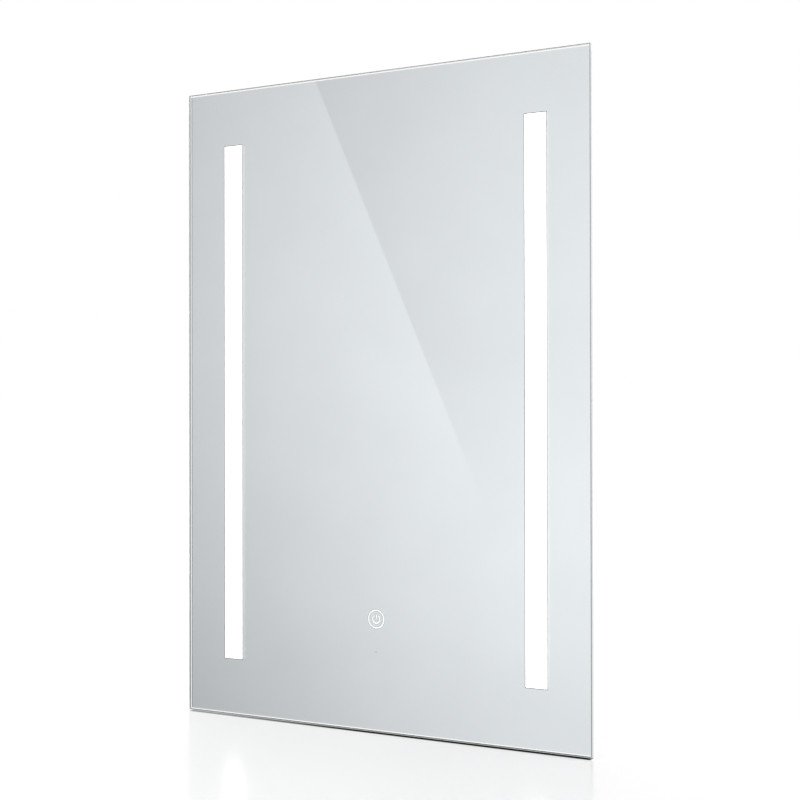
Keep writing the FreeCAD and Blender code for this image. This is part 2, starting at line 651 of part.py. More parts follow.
def channel_end_cap(sign, end):
    """A plug that closes one end of a channel: a plate and a spigot that fits between the walls."""
    x = sign * WINDOW_X
    end_z = MIDDLE_Z + end * CHANNEL_LENGTH / 2
    plate = block(span(x, 2 * CHANNEL_OUTER), (RAIL_FRONT_Y, CHANNEL_BACK_Y),
                  (end_z, end_z + end * END_CAP_THICKNESS))
    ledge_back_y = SILVERING_Y + DIFFUSER_THICKNESS + CHANNEL_LEDGE
    spigot = block(span(x, 2 * (CHANNEL_INNER - END_CAP_CLEARANCE)),
                   (ledge_back_y + END_CAP_CLEARANCE, CHANNEL_FLOOR_Y - END_CAP_CLEARANCE),
                   (end_z - end * END_CAP_SPIGOT, end_z))
    return plate.fuse(spigot).removeSplitter()


def channel_tapes():
    """The four strips of tape under the channels' wings."""
    wing_middle = (CHANNEL_OUTER + CHANNEL_EDGE) / 2
    strips = []
    for _, sign in SIDES:
        for _, wing in SIDES:
            x = sign * WINDOW_X + wing * wing_middle
            strips.append(block(span(x, CHANNEL_WING), (SILVERING_Y, RAIL_FRONT_Y),
                                span(MIDDLE_Z, CHANNEL_LENGTH)))
    return group(strips)


def grommets():
    """The rubber rings that the LED leads and the mains cable pass through."""
    outlet = cable_outlet(CABLE_OUTLET_RADIUS + GROMMET_FLANGE, GROMMET_FLANGE)
    outlet = outlet.cut(cable_outlet(CABLE_OUTLET_RADIUS + GROMMET_FLANGE, 0))
    outlet = outlet.fuse(cable_outlet(CABLE_OUTLET_RADIUS, 0))
    rings = [outlet.cut(cable_outlet(CABLE_OUTLET_RADIUS - GROMMET_FLANGE, GROMMET_FLANGE)).removeSplitter()]
    for _, sign in SIDES:
        inner_x = sign * (WINDOW_X - CHANNEL_INNER)
        outer_x = sign * (WINDOW_X - CHANNEL_OUTER)
        rim_x = outer_x - sign * GROMMET_FLANGE
        neck = rod((outer_x, LED_LEAD_Y, LED_LEAD_Z), (inner_x, LED_LEAD_Y, LED_LEAD_Z), GROMMET_NECK_RADIUS)
        rim = rod((rim_x, LED_LEAD_Y, LED_LEAD_Z), (outer_x, LED_LEAD_Y, LED_LEAD_Z), GROMMET_FLANGE_RADIUS)
        bore = rod((rim_x, LED_LEAD_Y, LED_LEAD_Z), (inner_x, LED_LEAD_Y, LED_LEAD_Z), LEAD_RADIUS + LEAD_FIT)
        rings.append(neck.fuse(rim).cut(bore))
    return group(rings)


# ---- Service plate ------------------------------------------------------------------------------------

def driver_screw_places():
    """The (x, z) of the two screws through the driver's lugs."""
    reach = DRIVER_LENGTH / 2 + DRIVER_LUG_LENGTH / 2
    return [(sign * reach, DRIVER_Z) for _, sign in SIDES]


def terminal_screw_places():
    """The (x, z) of the two screws through the floor of the terminal box, one above the other."""
    x = TERMINAL_X - TERMINAL_WIDTH / 2 + TERMINAL_FIXING_INSET
    return [(x, z) for z in span(TERMINAL_Z, TERMINAL_HEIGHT - 2 * TERMINAL_FIXING_INSET)]


def service_plate():
    """The thin steel plate that carries the electrics, with its corners cut off."""
    plate = block(span(0, SERVICE_PLATE_WIDTH), (RAIL_FRONT_Y, PLATE_Y), span(PLATE_Z, SERVICE_PLATE_HEIGHT))
    plate = plate.makeChamfer(SERVICE_PLATE_CORNER, edges_along_y(plate))
    return plate.cut([rod((x, RAIL_FRONT_Y, z), (x, PLATE_Y, z), CASE_SCREW_RADIUS + SCREW_FIT)
                      for x, z in driver_screw_places() + terminal_screw_places()])


def service_tapes():
    """The upright strips of tape that hold the service plate to the silvering."""
    reach = SERVICE_PLATE_WIDTH / 2 - SERVICE_TAPE_MARGIN - SERVICE_TAPE_WIDTH / 2
    step = 2 * reach / (SERVICE_TAPE_COUNT - 1)
    length = SERVICE_PLATE_HEIGHT - 2 * (SERVICE_PLATE_CORNER + SERVICE_TAPE_MARGIN)
    return group(block(span(-reach + index * step, SERVICE_TAPE_WIDTH), (SILVERING_Y, RAIL_FRONT_Y),
                       span(PLATE_Z, length)) for index in range(SERVICE_TAPE_COUNT))


# ---- LED driver ---------------------------------------------------------------------------------------

def driver_lead_holes():
    """The holes in the driver's end walls: the touch lead's on the left and the mains lead's on the right."""
    half = DRIVER_LENGTH / 2
    left = rod((-half, DRIVER_LEAD_Y, DRIVER_Z), (-half + DRIVER_WALL, DRIVER_LEAD_Y, DRIVER_Z),
               LEAD_RADIUS + LEAD_FIT)
    right = rod((half - DRIVER_WALL, DRIVER_LEAD_Y, DRIVER_Z), (half, DRIVER_LEAD_Y, DRIVER_Z),
                MAINS_LEAD_RADIUS + LEAD_FIT)
    return [left, right]


def driver_base():
    """The driver's tray, with the posts that carry the board and a lug at each end."""
    tray = rounded_block(span(0, DRIVER_LENGTH), (PLATE_Y, DRIVER_COVER_Y), span(DRIVER_Z, DRIVER_HEIGHT),
                         CASE_CORNER)
    hollow = rounded_block(span(0, DRIVER_LENGTH - 2 * DRIVER_WALL), (PLATE_Y + DRIVER_FLOOR, DRIVER_COVER_Y),
                           span(DRIVER_Z, DRIVER_HEIGHT - 2 * DRIVER_WALL), CASE_CORNER - DRIVER_WALL)
    lugs = block(span(0, DRIVER_LENGTH + 2 * DRIVER_LUG_LENGTH), (PLATE_Y, PLATE_Y + DRIVER_LUG_THICKNESS),
                 span(DRIVER_Z, DRIVER_LUG_WIDTH))
    posts = []
    for _, x_sign in SIDES:
        for _, z_sign in SIDES:
            x = x_sign * (DRIVER_LENGTH / 2 - DRIVER_POST_INSET)
            z = DRIVER_Z + z_sign * (DRIVER_HEIGHT / 2 - DRIVER_POST_INSET)
            floor_y = PLATE_Y + DRIVER_FLOOR
            posts.append(rod((x, floor_y, z), (x, floor_y + DRIVER_POST_HEIGHT, z), DRIVER_POST_RADIUS))
    screw_holes = [rod((x, PLATE_Y, z), (x, PLATE_Y + DRIVER_LUG_THICKNESS, z), CASE_SCREW_RADIUS + SCREW_FIT)
                   for x, z in driver_screw_places()]
    return tray.fuse(lugs).cut(hollow).fuse(posts).cut(screw_holes + driver_lead_holes()).removeSplitter()


def driver_cover():
    """The driver's snap-on cover, with ribs at both ends and a lip that fits inside the tray."""
    plate = rounded_block(span(0, DRIVER_LENGTH), (DRIVER_COVER_Y, DRIVER_BACK_Y),
                          span(DRIVER_Z, DRIVER_HEIGHT), CASE_CORNER)
    outer_x = DRIVER_LENGTH - 2 * (DRIVER_WALL + END_CAP_CLEARANCE)
    outer_z = DRIVER_HEIGHT - 2 * (DRIVER_WALL + END_CAP_CLEARANCE)
    y = (DRIVER_COVER_Y - DRIVER_LIP, DRIVER_COVER_Y)
    lip = rounded_block(span(0, outer_x), y, span(DRIVER_Z, outer_z),
                        CASE_CORNER - DRIVER_WALL - END_CAP_CLEARANCE)
    lip = lip.cut(block(span(0, outer_x - 2 * DRIVER_WALL), y, span(DRIVER_Z, outer_z - 2 * DRIVER_WALL)))
    ribs = []
    for _, sign in SIDES:
        for index in range(DRIVER_RIB_COUNT):
            x = sign * (DRIVER_LENGTH / 2 - DRIVER_RIB_MARGIN - index * DRIVER_RIB_PITCH)
            ribs.append(block(span(x, DRIVER_RIB_PITCH / 2), (DRIVER_BACK_Y, DRIVER_BACK_Y + DRIVER_RIB),
                              span(DRIVER_Z, DRIVER_HEIGHT - 2 * DRIVER_RIB_MARGIN)))
    return plate.fuse([lip] + ribs).removeSplitter()


def driver_board():
    """The driver's circuit board, resting on the posts."""
    return block(span(0, DRIVER_LENGTH - 2 * (DRIVER_WALL + DRIVER_BOARD_CLEARANCE)),
                 (DRIVER_BOARD_Y - DRIVER_BOARD_THICKNESS, DRIVER_BOARD_Y),
                 span(DRIVER_Z, DRIVER_HEIGHT - 2 * (DRIVER_WALL + DRIVER_BOARD_CLEARANCE)))


def driver_connectors():
    """The blocks on the driver's board where the two leads end."""
    length, width, height = DRIVER_CONNECTOR
    outer = DRIVER_LENGTH / 2 - DRIVER_WALL - DRIVER_CONNECTOR_SETBACK
    return group(block((sign * outer, sign * (outer - length)), (DRIVER_BOARD_Y, DRIVER_BOARD_Y + height),
                       span(DRIVER_Z, width)) for _, sign in SIDES)


def driver_transformer():
    """The wound transformer: a ferrite core with its bobbin standing proud of both sides."""
    length, width, height = TRANSFORMER
    core = block(span(TRANSFORMER_OFFSET, length), (DRIVER_BOARD_Y, DRIVER_BOARD_Y + height),
                 span(DRIVER_Z, width * 0.6))
    bobbin = rod((TRANSFORMER_OFFSET, DRIVER_BOARD_Y + height / 2, DRIVER_Z - width / 2),
                 (TRANSFORMER_OFFSET, DRIVER_BOARD_Y + height / 2, DRIVER_Z + width / 2), height / 2)
    return core.fuse(bobbin).removeSplitter()


def driver_capacitors():
    """The capacitors lying on the driver's board."""
    y = DRIVER_BOARD_Y + CAPACITOR_RADIUS
    return group(rod((x - CAPACITOR_LENGTH / 2, y, DRIVER_Z + z), (x + CAPACITOR_LENGTH / 2, y, DRIVER_Z + z),
                     CAPACITOR_RADIUS) for x, z in CAPACITOR_PLACES)


def case_screws(places, seat_y):
    """Pan-head screws into the service plate, with their tips level with its front."""
    return group(pan_screw(x, z, seat_y, RAIL_FRONT_Y, CASE_SCREW_RADIUS, CASE_SCREW_HEAD_RADIUS,
                           CASE_SCREW_HEAD) for x, z in places)


# ---- Terminal box -------------------------------------------------------------------------------------

def hinge_barrel(x):
    """A length of hinge barrel between two values of x."""
    return rod((x[0], HINGE_Y, HINGE_Z), (x[1], HINGE_Y, HINGE_Z), HINGE_RADIUS)


def hinge_bore(x, clearance):
    """The hole for the hinge pin between two values of x."""
    return rod((x[0], HINGE_Y, HINGE_Z), (x[1], HINGE_Y, HINGE_Z), HINGE_PIN_RADIUS + clearance)


def hinge_ears():
    """The x spans of the two ears on the box, either side of the lid's knuckle."""
    inner = HINGE_KNUCKLE_LENGTH / 2 + HINGE_END_CLEARANCE
    outer = inner + HINGE_EAR_THICKNESS
    return [(TERMINAL_X - outer, TERMINAL_X - inner), (TERMINAL_X + inner, TERMINAL_X + outer)]


def terminal_box():
    """The box, open to the wall side, with its pedestal, hinge ears and holes for lead and gland."""
    shell = rounded_block(span(TERMINAL_X, TERMINAL_WIDTH), (PLATE_Y, TERMINAL_RIM_Y),
                          span(TERMINAL_Z, TERMINAL_HEIGHT), CASE_CORNER)
    hollow = rounded_block(span(TERMINAL_X, TERMINAL_WIDTH - 2 * TERMINAL_WALL),
                           (TERMINAL_INNER_Y, TERMINAL_RIM_Y),
                           span(TERMINAL_Z, TERMINAL_HEIGHT - 2 * TERMINAL_WALL), CASE_CORNER - TERMINAL_WALL)
    length, _, width = TERMINAL_BLOCK
    pedestal = block(span(TERMINAL_X, length), (TERMINAL_INNER_Y, BLOCK_Y), span(TERMINAL_Z, width))
    ears = []
    for x in hinge_ears():
        web = block(x, (HINGE_Y - HINGE_RADIUS, HINGE_Y), (TERMINAL_TOP_Z, HINGE_Z))
        ears.append(hinge_barrel(x).fuse(web))
    right_x = TERMINAL_X + TERMINAL_WIDTH / 2
    lead_hole = rod((right_x - TERMINAL_WALL, DRIVER_LEAD_Y, TERMINAL_Z),
                    (right_x, DRIVER_LEAD_Y, TERMINAL_Z), MAINS_LEAD_RADIUS + LEAD_FIT)
    gland_hole = rod((GLAND_X, GLAND_Y, TERMINAL_FLOOR_Z),
                     (GLAND_X, GLAND_Y, TERMINAL_FLOOR_Z + TERMINAL_WALL),
                     GLAND_THREAD_RADIUS + GLAND_THREAD_CLEARANCE)
    screw_holes = [rod((x, PLATE_Y, z), (x, TERMINAL_INNER_Y, z), CASE_SCREW_RADIUS + SCREW_FIT)
                   for x, z in terminal_screw_places()]
    pin_holes = [hinge_bore(x, 0) for x in hinge_ears()]
    box = shell.cut(hollow).fuse([pedestal] + ears)
    return box.cut([lead_hole, gland_hole] + screw_holes + pin_holes).removeSplitter()


def terminal_lid():
    """The hinged lid: plate, knuckle, finger tab, and the lip that sits inside the box."""
    plate = rounded_block(span(TERMINAL_X, TERMINAL_WIDTH), (LID_INNER_Y, LID_OUTER_Y),
                          (TERMINAL_FLOOR_Z, TERMINAL_TOP_Z), CASE_CORNER)
    knuckle_x = span(TERMINAL_X, HINGE_KNUCKLE_LENGTH)
    arm = block(knuckle_x, (LID_INNER_Y, LID_OUTER_Y), (TERMINAL_TOP_Z, HINGE_Z))
    tab = block(span(TERMINAL_X, LID_TAB_WIDTH), (LID_INNER_Y, LID_OUTER_Y),
                (TERMINAL_FLOOR_Z - LID_TAB_LENGTH, TERMINAL_FLOOR_Z))
    y = (LID_INNER_Y - LID_LIP_DEPTH, LID_INNER_Y)
    lip_width = TERMINAL_WIDTH - 2 * (TERMINAL_WALL + LID_LIP_CLEARANCE)
    low_z = TERMINAL_FLOOR_Z + TERMINAL_WALL + LID_LIP_CLEARANCE
    high_z = TERMINAL_TOP_Z - LID_LIP_HINGE_CLEARANCE
    lip = rounded_block(span(TERMINAL_X, lip_width), y, (low_z, high_z), CASE_CORNER - TERMINAL_WALL)
    lip = lip.cut(block(span(TERMINAL_X, lip_width - 2 * LID_LIP_THICKNESS), y,
                        (low_z + LID_LIP_THICKNESS, high_z)))
    lid = plate.fuse([arm, tab, hinge_barrel(knuckle_x), lip])
    return lid.cut(hinge_bore(knuckle_x, HINGE_RUNNING_CLEARANCE)).removeSplitter()


def lid_hinge_pin():
    """The steel pin pressed into the box's ears."""
    ears = hinge_ears()
    return hinge_bore((ears[0][0], ears[1][1]), 0)


def terminal_screw_centres():
    """The (x, z) of the four clamping screws in the terminal block."""
    return [(x, z) for x in span(TERMINAL_X, TERMINAL_SCREW_SPACING)
            for z in span(TERMINAL_Z, TERMINAL_POLE_SPACING)]


def terminal_block():
    """The two-pole block: a wire hole along each pole and a well over each screw."""
    length, height, width = TERMINAL_BLOCK
    body = block(span(TERMINAL_X, length), (BLOCK_Y, BLOCK_Y + height), span(TERMINAL_Z, width))
    cuts = []
    for z in span(TERMINAL_Z, TERMINAL_POLE_SPACING):
        ends = [(x, DRIVER_LEAD_Y, z) for x in span(TERMINAL_X, length)]
        cuts.append(rod(*ends, CORE_RADIUS + LEAD_FIT))
    for x, z in terminal_screw_centres():
        cuts.append(rod((x, DRIVER_LEAD_Y, z), (x, BLOCK_Y + height, z), TERMINAL_SCREW_RADIUS + SCREW_FIT))
    return body.cut(cuts)


def terminal_screws():
    """The slotted brass screws down in the terminal block's wells."""
    _, height, _ = TERMINAL_BLOCK
    top_y = BLOCK_Y + height - TERMINAL_SCREW_RECESS
    screws = []
    for x, z in terminal_screw_centres():
        screw = rod((x, top_y - TERMINAL_SCREW_LENGTH, z), (x, top_y, z), TERMINAL_SCREW_RADIUS)
        slot = block(span(x, 2 * TERMINAL_SCREW_RADIUS), (top_y - CROSS_DEPTH, top_y),
                     span(z, TERMINAL_SCREW_SLOT))
        screws.append(screw.cut(slot))
    return group(screws)


# ---- Cable gland --------------------------------------------------------------------------------------

def gland_bore(z):
    """The way through the gland for the mains cable, between two values of z."""
    return rod((GLAND_X, GLAND_Y, z[0]), (GLAND_X, GLAND_Y, z[1]), GLAND_BORE_RADIUS)


def cable_gland():
    """The gland's body: thread through the box floor, hexagonal collar, and neck for the clamping nut."""
    collar_z = TERMINAL_FLOOR_Z - GLAND_COLLAR_LENGTH
    neck_z = collar_z - GLAND_NECK_LENGTH
    inside_z = TERMINAL_FLOOR_Z + TERMINAL_WALL + GLAND_LOCKNUT_LENGTH
    thread = rod((GLAND_X, GLAND_Y, neck_z), (GLAND_X, GLAND_Y, inside_z), GLAND_THREAD_RADIUS)
    collar = hexagon(GLAND_X, GLAND_Y, GLAND_FLATS, (collar_z, TERMINAL_FLOOR_Z))
    return thread.fuse(collar).cut(gland_bore((neck_z, inside_z)))


def gland_nut():
    """The ribbed clamping nut over the gland's neck, open for the cable at its end."""
    top_z = TERMINAL_FLOOR_Z - GLAND_COLLAR_LENGTH
    end_z = top_z - GLAND_NUT_LENGTH
    neck_z = top_z - GLAND_NECK_LENGTH
    body = rod((GLAND_X, GLAND_Y, end_z), (GLAND_X, GLAND_Y, top_z), GLAND_NUT_RADIUS)
    low_edge = min(body.Edges, key=lambda edge: edge.CenterOfMass.z)
    body = body.makeChamfer(GLAND_NUT_RADIUS / 5, [low_edge])
    socket = rod((GLAND_X, GLAND_Y, neck_z), (GLAND_X, GLAND_Y, top_z),
                 GLAND_THREAD_RADIUS + GLAND_THREAD_CLEARANCE)
    grooves = []
    for index in range(GLAND_NUT_RIBS):
        turn = 2 * math.pi * index / GLAND_NUT_RIBS
        x = GLAND_X + GLAND_NUT_RADIUS * math.cos(turn)
        y = GLAND_Y + GLAND_NUT_RADIUS * math.sin(turn)
        grooves.append(rod((x, y, end_z), (x, y, top_z), GLAND_NUT_RADIUS / 12))
    return body.cut([socket, gland_bore((end_z, neck_z))] + grooves)


def gland_locknut():
    """The thin hexagonal nut inside the box."""
    low_z = TERMINAL_FLOOR_Z + TERMINAL_WALL
    z = (low_z, low_z + GLAND_LOCKNUT_LENGTH)
    hole = rod((GLAND_X, GLAND_Y, z[0]), (GLAND_X, GLAND_Y, z[1]),
               GLAND_THREAD_RADIUS + GLAND_THREAD_CLEARANCE)
    return hexagon(GLAND_X, GLAND_Y, GLAND_FLATS, z).cut(hole)


# ---- Touch sensor -------------------------------------------------------------------------------------

def sensor_ports():
    """The (side sign, z) of the three lead ports in the sensor case: touch lead, then the LED leads."""
    return [(-1, SENSOR_Z + SENSOR_PORT_OFFSET), (-1, SENSOR_Z - SENSOR_PORT_OFFSET),
            (1, SENSOR_Z - SENSOR_PORT_OFFSET)]


def touch_case():
    """The sensor's case, open to the glass, with ribs behind the board and a port for each lead."""
    inner = SENSOR_SIZE - 2 * SENSOR_WALL
    shell = rounded_block(span(0, SENSOR_SIZE), (SENSOR_FRONT_Y, SENSOR_BACK_Y), span(SENSOR_Z, SENSOR_SIZE),
                          CASE_CORNER)
    shell = shell.cut(rounded_block(span(0, inner), (SENSOR_FRONT_Y, SENSOR_BACK_Y - SENSOR_WALL),
                                    span(SENSOR_Z, inner), CASE_CORNER - SENSOR_WALL))
    ribs = [block(span(sign * inner / 4, SENSOR_WALL), (SENSOR_BOARD_BACK_Y, SENSOR_BACK_Y - SENSOR_WALL),
                  span(SENSOR_Z, inner)) for _, sign in SIDES]
    ports = []
    for sign, z in sensor_ports():
        outer_x = sign * SENSOR_SIZE / 2
        ports.append(rod((outer_x - sign * SENSOR_WALL, LEAD_Y, z), (outer_x, LEAD_Y, z),
                         LEAD_RADIUS + LEAD_FIT))
    return shell.fuse(ribs).cut(ports).removeSplitter()


def touch_tape():
    """The square frame of tape between the sensor's case and the silvering."""
    y = (SILVERING_Y, SENSOR_FRONT_Y)
    hole = SENSOR_SIZE - 2 * SENSOR_TAPE_WIDTH
    return rounded_block(span(0, SENSOR_SIZE), y, span(SENSOR_Z, SENSOR_SIZE), CASE_CORNER).cut(
        block(span(0, hole), y, span(SENSOR_Z, hole)))


def touch_board():
    """The sensor's circuit board, against the ribs."""
    size = SENSOR_SIZE - 2 * (SENSOR_WALL + SENSOR_BOARD_CLEARANCE)
    return rounded_block(span(0, size), (SENSOR_BOARD_Y, SENSOR_BOARD_BACK_Y), span(SENSOR_Z, size),
                         CASE_CORNER - SENSOR_WALL)


def icon_leds():
    """The LEDs on the sensor's board that light the ring and the symbol."""
    chips = []
    for index in range(ICON_LED_COUNT):
        turn = math.radians(360 * (index + 0.5) / ICON_LED_COUNT)
        chips.append(block(span(ICON_LED_RADIUS * math.cos(turn), LED_SIZE),
                           (SENSOR_BOARD_Y - LED_HEIGHT, SENSOR_BOARD_Y),
                           span(SENSOR_Z + ICON_LED_RADIUS * math.sin(turn), LED_SIZE)))
    return group(chips)


def icon_diffuser():
    """The small opal disc against the silvering behind the icon."""
    return rod((0, SILVERING_Y, SENSOR_Z), (0, SILVERING_Y + ICON_DIFFUSER_THICKNESS, SENSOR_Z),
               ICON_DIFFUSER_RADIUS)


def touch_electrode():
    """The sensing ring on the silvering, with a leg back to the board above and below."""
    ring_y = SILVERING_Y + ELECTRODE_THICKNESS
    ring = rod((0, SILVERING_Y, SENSOR_Z), (0, ring_y, SENSOR_Z), ELECTRODE_OUTER_RADIUS)
    ring = ring.cut(rod((0, SILVERING_Y, SENSOR_Z), (0, ring_y, SENSOR_Z), ELECTRODE_INNER_RADIUS))
    middle = (ELECTRODE_INNER_RADIUS + ELECTRODE_OUTER_RADIUS) / 2
    legs = [block(span(0, ELECTRODE_LEG_WIDTH), (SILVERING_Y, SENSOR_BOARD_Y),
                  span(SENSOR_Z + sign * middle, ELECTRODE_THICKNESS)) for _, sign in SIDES]
    return ring.fuse(legs).removeSplitter()


# ---- Leads and clips ----------------------------------------------------------------------------------

def driver_lead_end(sign):
    """The x where a lead ends, at the face of its connector inside the driver."""
    return sign * (DRIVER_LENGTH / 2 - DRIVER_WALL - DRIVER_CONNECTOR_SETBACK)


def sensor_lead_end(sign):
    """The x where a lead ends inside the touch sensor's case."""
    return sign * (SENSOR_SIZE / 2 - SENSOR_WALL - LEAD_TAIL)


def mains_lead():
    """The sheathed lead from the driver round to the terminal box, and its two cores inside the box."""
    turn_x = DRIVER_LENGTH / 2 + LEAD_TURN_OUT
    sheath_x = TERMINAL_X + TERMINAL_WIDTH / 2 - TERMINAL_WALL - LEAD_TAIL
    sheath = lead("mains_lead", [(driver_lead_end(1), DRIVER_LEAD_Y, DRIVER_Z),
                                 (turn_x, DRIVER_LEAD_Y, DRIVER_Z),
                                 (turn_x, DRIVER_LEAD_Y, TERMINAL_Z),
                                 (sheath_x, DRIVER_LEAD_Y, TERMINAL_Z)],
                  MAINS_LEAD_RADIUS, [LEAD_TURN_RADIUS, LEAD_TURN_RADIUS])
    block_x = TERMINAL_X + TERMINAL_BLOCK[0] / 2
    cores = []
    for name, sign in SIDES:
        near_z = TERMINAL_Z + sign * CORE_SPREAD
        far_z = TERMINAL_Z + sign * TERMINAL_POLE_SPACING / 2
        cores.append(lead(f"mains core {name}", [(sheath_x, DRIVER_LEAD_Y, near_z),
                                                 (sheath_x - CORE_TAIL, DRIVER_LEAD_Y, near_z),
                                                 (block_x + CORE_TAIL, DRIVER_LEAD_Y, far_z),
                                                 (block_x - CORE_TAIL, DRIVER_LEAD_Y, far_z)],
                          CORE_RADIUS, [CORE_TURN_RADIUS, CORE_TURN_RADIUS]))
    return group([sheath] + cores)


def touch_lead_x():
    """The x of the touch lead's upright run."""
    return -(DRIVER_LENGTH / 2 + LEAD_TURN_OUT)


def touch_lead():
    """The lead from the driver down to the touch sensor, easing in towards the glass on its way."""
    _, port_z = sensor_ports()[0]
    x = touch_lead_x()
    ease_z = DRIVER_Z - LEAD_TURN_RADIUS - LEAD_EASE_LENGTH / 2
    return lead("touch_lead", [(driver_lead_end(-1), DRIVER_LEAD_Y, DRIVER_Z),
                               (x, DRIVER_LEAD_Y, DRIVER_Z),
                               (x, DRIVER_LEAD_Y, ease_z),
                               (x, LEAD_Y, ease_z - LEAD_EASE_LENGTH),
                               (x, LEAD_Y, port_z),
                               (sensor_lead_end(-1), LEAD_Y, port_z)],
                LEAD_RADIUS, [LEAD_TURN_RADIUS, LEAD_EASE_RADIUS, LEAD_EASE_RADIUS, LEAD_TURN_RADIUS])


def led_lead_ease_x():
    """How far from the middle an LED lead starts to ease out to its board's level."""
    return WINDOW_X - CHANNEL_OUTER - LED_LEAD_STRAIGHT - LEAD_EASE_LENGTH


def led_lead(name, sign):
    """The lead from the touch sensor to one LED board, easing out to the board's level."""
    port_z = SENSOR_Z - SENSOR_PORT_OFFSET
    ease_x = led_lead_ease_x()
    board_x = WINDOW_X - LED_BOARD_WIDTH / 2
    return lead(name, [(sensor_lead_end(sign), LEAD_Y, port_z),
                       (sign * ease_x, LEAD_Y, port_z),
                       (sign * (ease_x + LEAD_EASE_LENGTH), LED_LEAD_Y, LED_LEAD_Z),
                       (sign * board_x, LED_LEAD_Y, LED_LEAD_Z)],
                LEAD_RADIUS, [LEAD_EASE_RADIUS, LEAD_EASE_RADIUS])


def lead_clip(x, z, along_x):
    """A stick-on clip round a lead: a foot on the silvering and a saddle over the lead."""
    outer = LEAD_RADIUS + LEAD_FIT + CLIP_WALL
    reach_x, reach_z = (CLIP_WIDTH, CLIP_LENGTH) if along_x else (CLIP_LENGTH, CLIP_WIDTH)
    foot = block(span(x, reach_x), (SILVERING_Y, SILVERING_Y + CLIP_BASE), span(z, reach_z))
    half = CLIP_WIDTH / 2
    start, end = ((x - half, z), (x + half, z)) if along_x else ((x, z - half), (x, z + half))
    saddle = rod((start[0], LEAD_Y, start[1]), (end[0], LEAD_Y, end[1]), outer)
    neck_x, neck_z = (CLIP_WIDTH, 2 * outer) if along_x else (2 * outer, CLIP_WIDTH)
    neck = block(span(x, neck_x), (SILVERING_Y, LEAD_Y), span(z, neck_z))
    hole = rod((start[0], LEAD_Y, start[1]), (end[0], LEAD_Y, end[1]), LEAD_RADIUS + LEAD_FIT)
    return foot.fuse([saddle, neck]).cut(hole).removeSplitter()


def lead_clips():
    """All the clips along the touch lead and the two LED leads."""
    _, touch_z = sensor_ports()[0]
    clips = [lead_clip(touch_lead_x(), touch_z + rise, False) for rise in TOUCH_CLIP_RISES]
    clips.append(lead_clip(-SENSOR_SIZE / 2 - TOUCH_CLIP_REACH, touch_z, True))
    port_z = SENSOR_Z - SENSOR_PORT_OFFSET
    for _, sign in SIDES:
        for x in (SENSOR_SIZE / 2 + LED_CLIP_REACH, led_lead_ease_x() - LED_CLIP_SETBACK):
            clips.append(lead_clip(sign * x, port_z, True))
    return group(clips)


# ---- The whole mirror ---------------------------------------------------------------------------------

def build():
    """Every piece of the mirror, by its node's name."""
    parts = {
        "mirror_glass": mirror_glass(),
        "silvering": silvering(),
        "top_rail": rail(2 * FRAME_HALF_WIDTH, 0),
        "right_rail": rail(2 * FRAME_HALF_HEIGHT, 90),
        "bottom_rail": rail(2 * FRAME_HALF_WIDTH, 180),
        "left_rail": rail(2 * FRAME_HALF_HEIGHT, 270),
        "corner_keys": corner_keys(),
        "corner_screws": corner_screws(),
        "top_frame_tape": frame_tape(True, 1),
        "bottom_frame_tape": frame_tape(True, -1),
        "left_frame_tape": frame_tape(False, -1),
        "right_frame_tape": frame_tape(False, 1),
        "hanger_screws": hanger_screws(),
        "wall_bumpers": wall_bumpers(),
        "led_connectors": led_connectors(),
        "channel_tapes": channel_tapes(),
        "grommets": grommets(),
        "service_plate": service_plate(),
        "service_tapes": service_tapes(),
        "driver_base": driver_base(),
        "driver_cover": driver_cover(),
        "driver_board": driver_board(),
        "driver_connectors": driver_connectors(),
        "driver_transformer": driver_transformer(),
        "driver_capacitors": driver_capacitors(),
        "driver_screws": case_screws(driver_screw_places(), PLATE_Y + DRIVER_LUG_THICKNESS),
        "terminal_box": terminal_box(),
        "terminal_lid": terminal_lid(),
        "lid_hinge_pin": lid_hinge_pin(),
        "terminal_block": terminal_block(),
        "terminal_screws": terminal_screws(),
        "terminal_box_screws": case_screws(terminal_screw_places(), TERMINAL_INNER_Y),
        "cable_gland": cable_gland(),
        "gland_nut": gland_nut(),
        "gland_locknut": gland_locknut(),
        "touch_case": touch_case(),
        "touch_tape": touch_tape(),
        "touch_board": touch_board(),
        "touch_electrode": touch_electrode(),
        "icon_diffuser": icon_diffuser(),
        "icon_leds": icon_leds(),
        "mains_lead": mains_lead(),
        "touch_lead": touch_lead(),
        "lead_clips": lead_clips(),
    }
    for side, sign in SIDES:
        parts[f"{side}_hanger_plate"] = hanger_plate(sign * HANGER_X)
        parts[f"{side}_light_channel"] = light_channel(sign)
        parts[f"{side}_light_diffuser"] = light_diffuser(sign)
        parts[f"{side}_led_board"] = led_board(sign)
        parts[f"{side}_leds"] = leds(sign)
        parts[f"{side}_led_lead"] = led_lead(f"{side}_led_lead", sign)
        for end_name, end in (("top", 1), ("bottom", -1)):
            parts[f"{side}_{end_name}_end_cap"] = channel_end_cap(sign, end)
    return parts


def main():
    """Write one STEP file for each node."""
    os.makedirs("parts", exist_ok=True)
    parts = build()
    for name, shape in parts.items():
        assert shape.isValid(), name
        shape.exportStep(f"parts/{name}.step")
    print(f"{len(parts)} nodes, {sum(len(shape.Solids) for shape in parts.values())} solids")


if __name__ == "__main__":
    main()
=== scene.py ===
"""The looks of a lighted bathroom mirror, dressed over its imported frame.

Lengths are in metres. The mirror faces -Y, +Z is up, and the wall is the plane y = 0. Every sub-assembly
of the mirror is a class that dresses the frame's own nodes and adds the pieces that only the looks need.
"""

import logging
import math
from dataclasses import dataclass
from enum import Enum

import bpy
import bmesh
from mathutils import Matrix, Vector


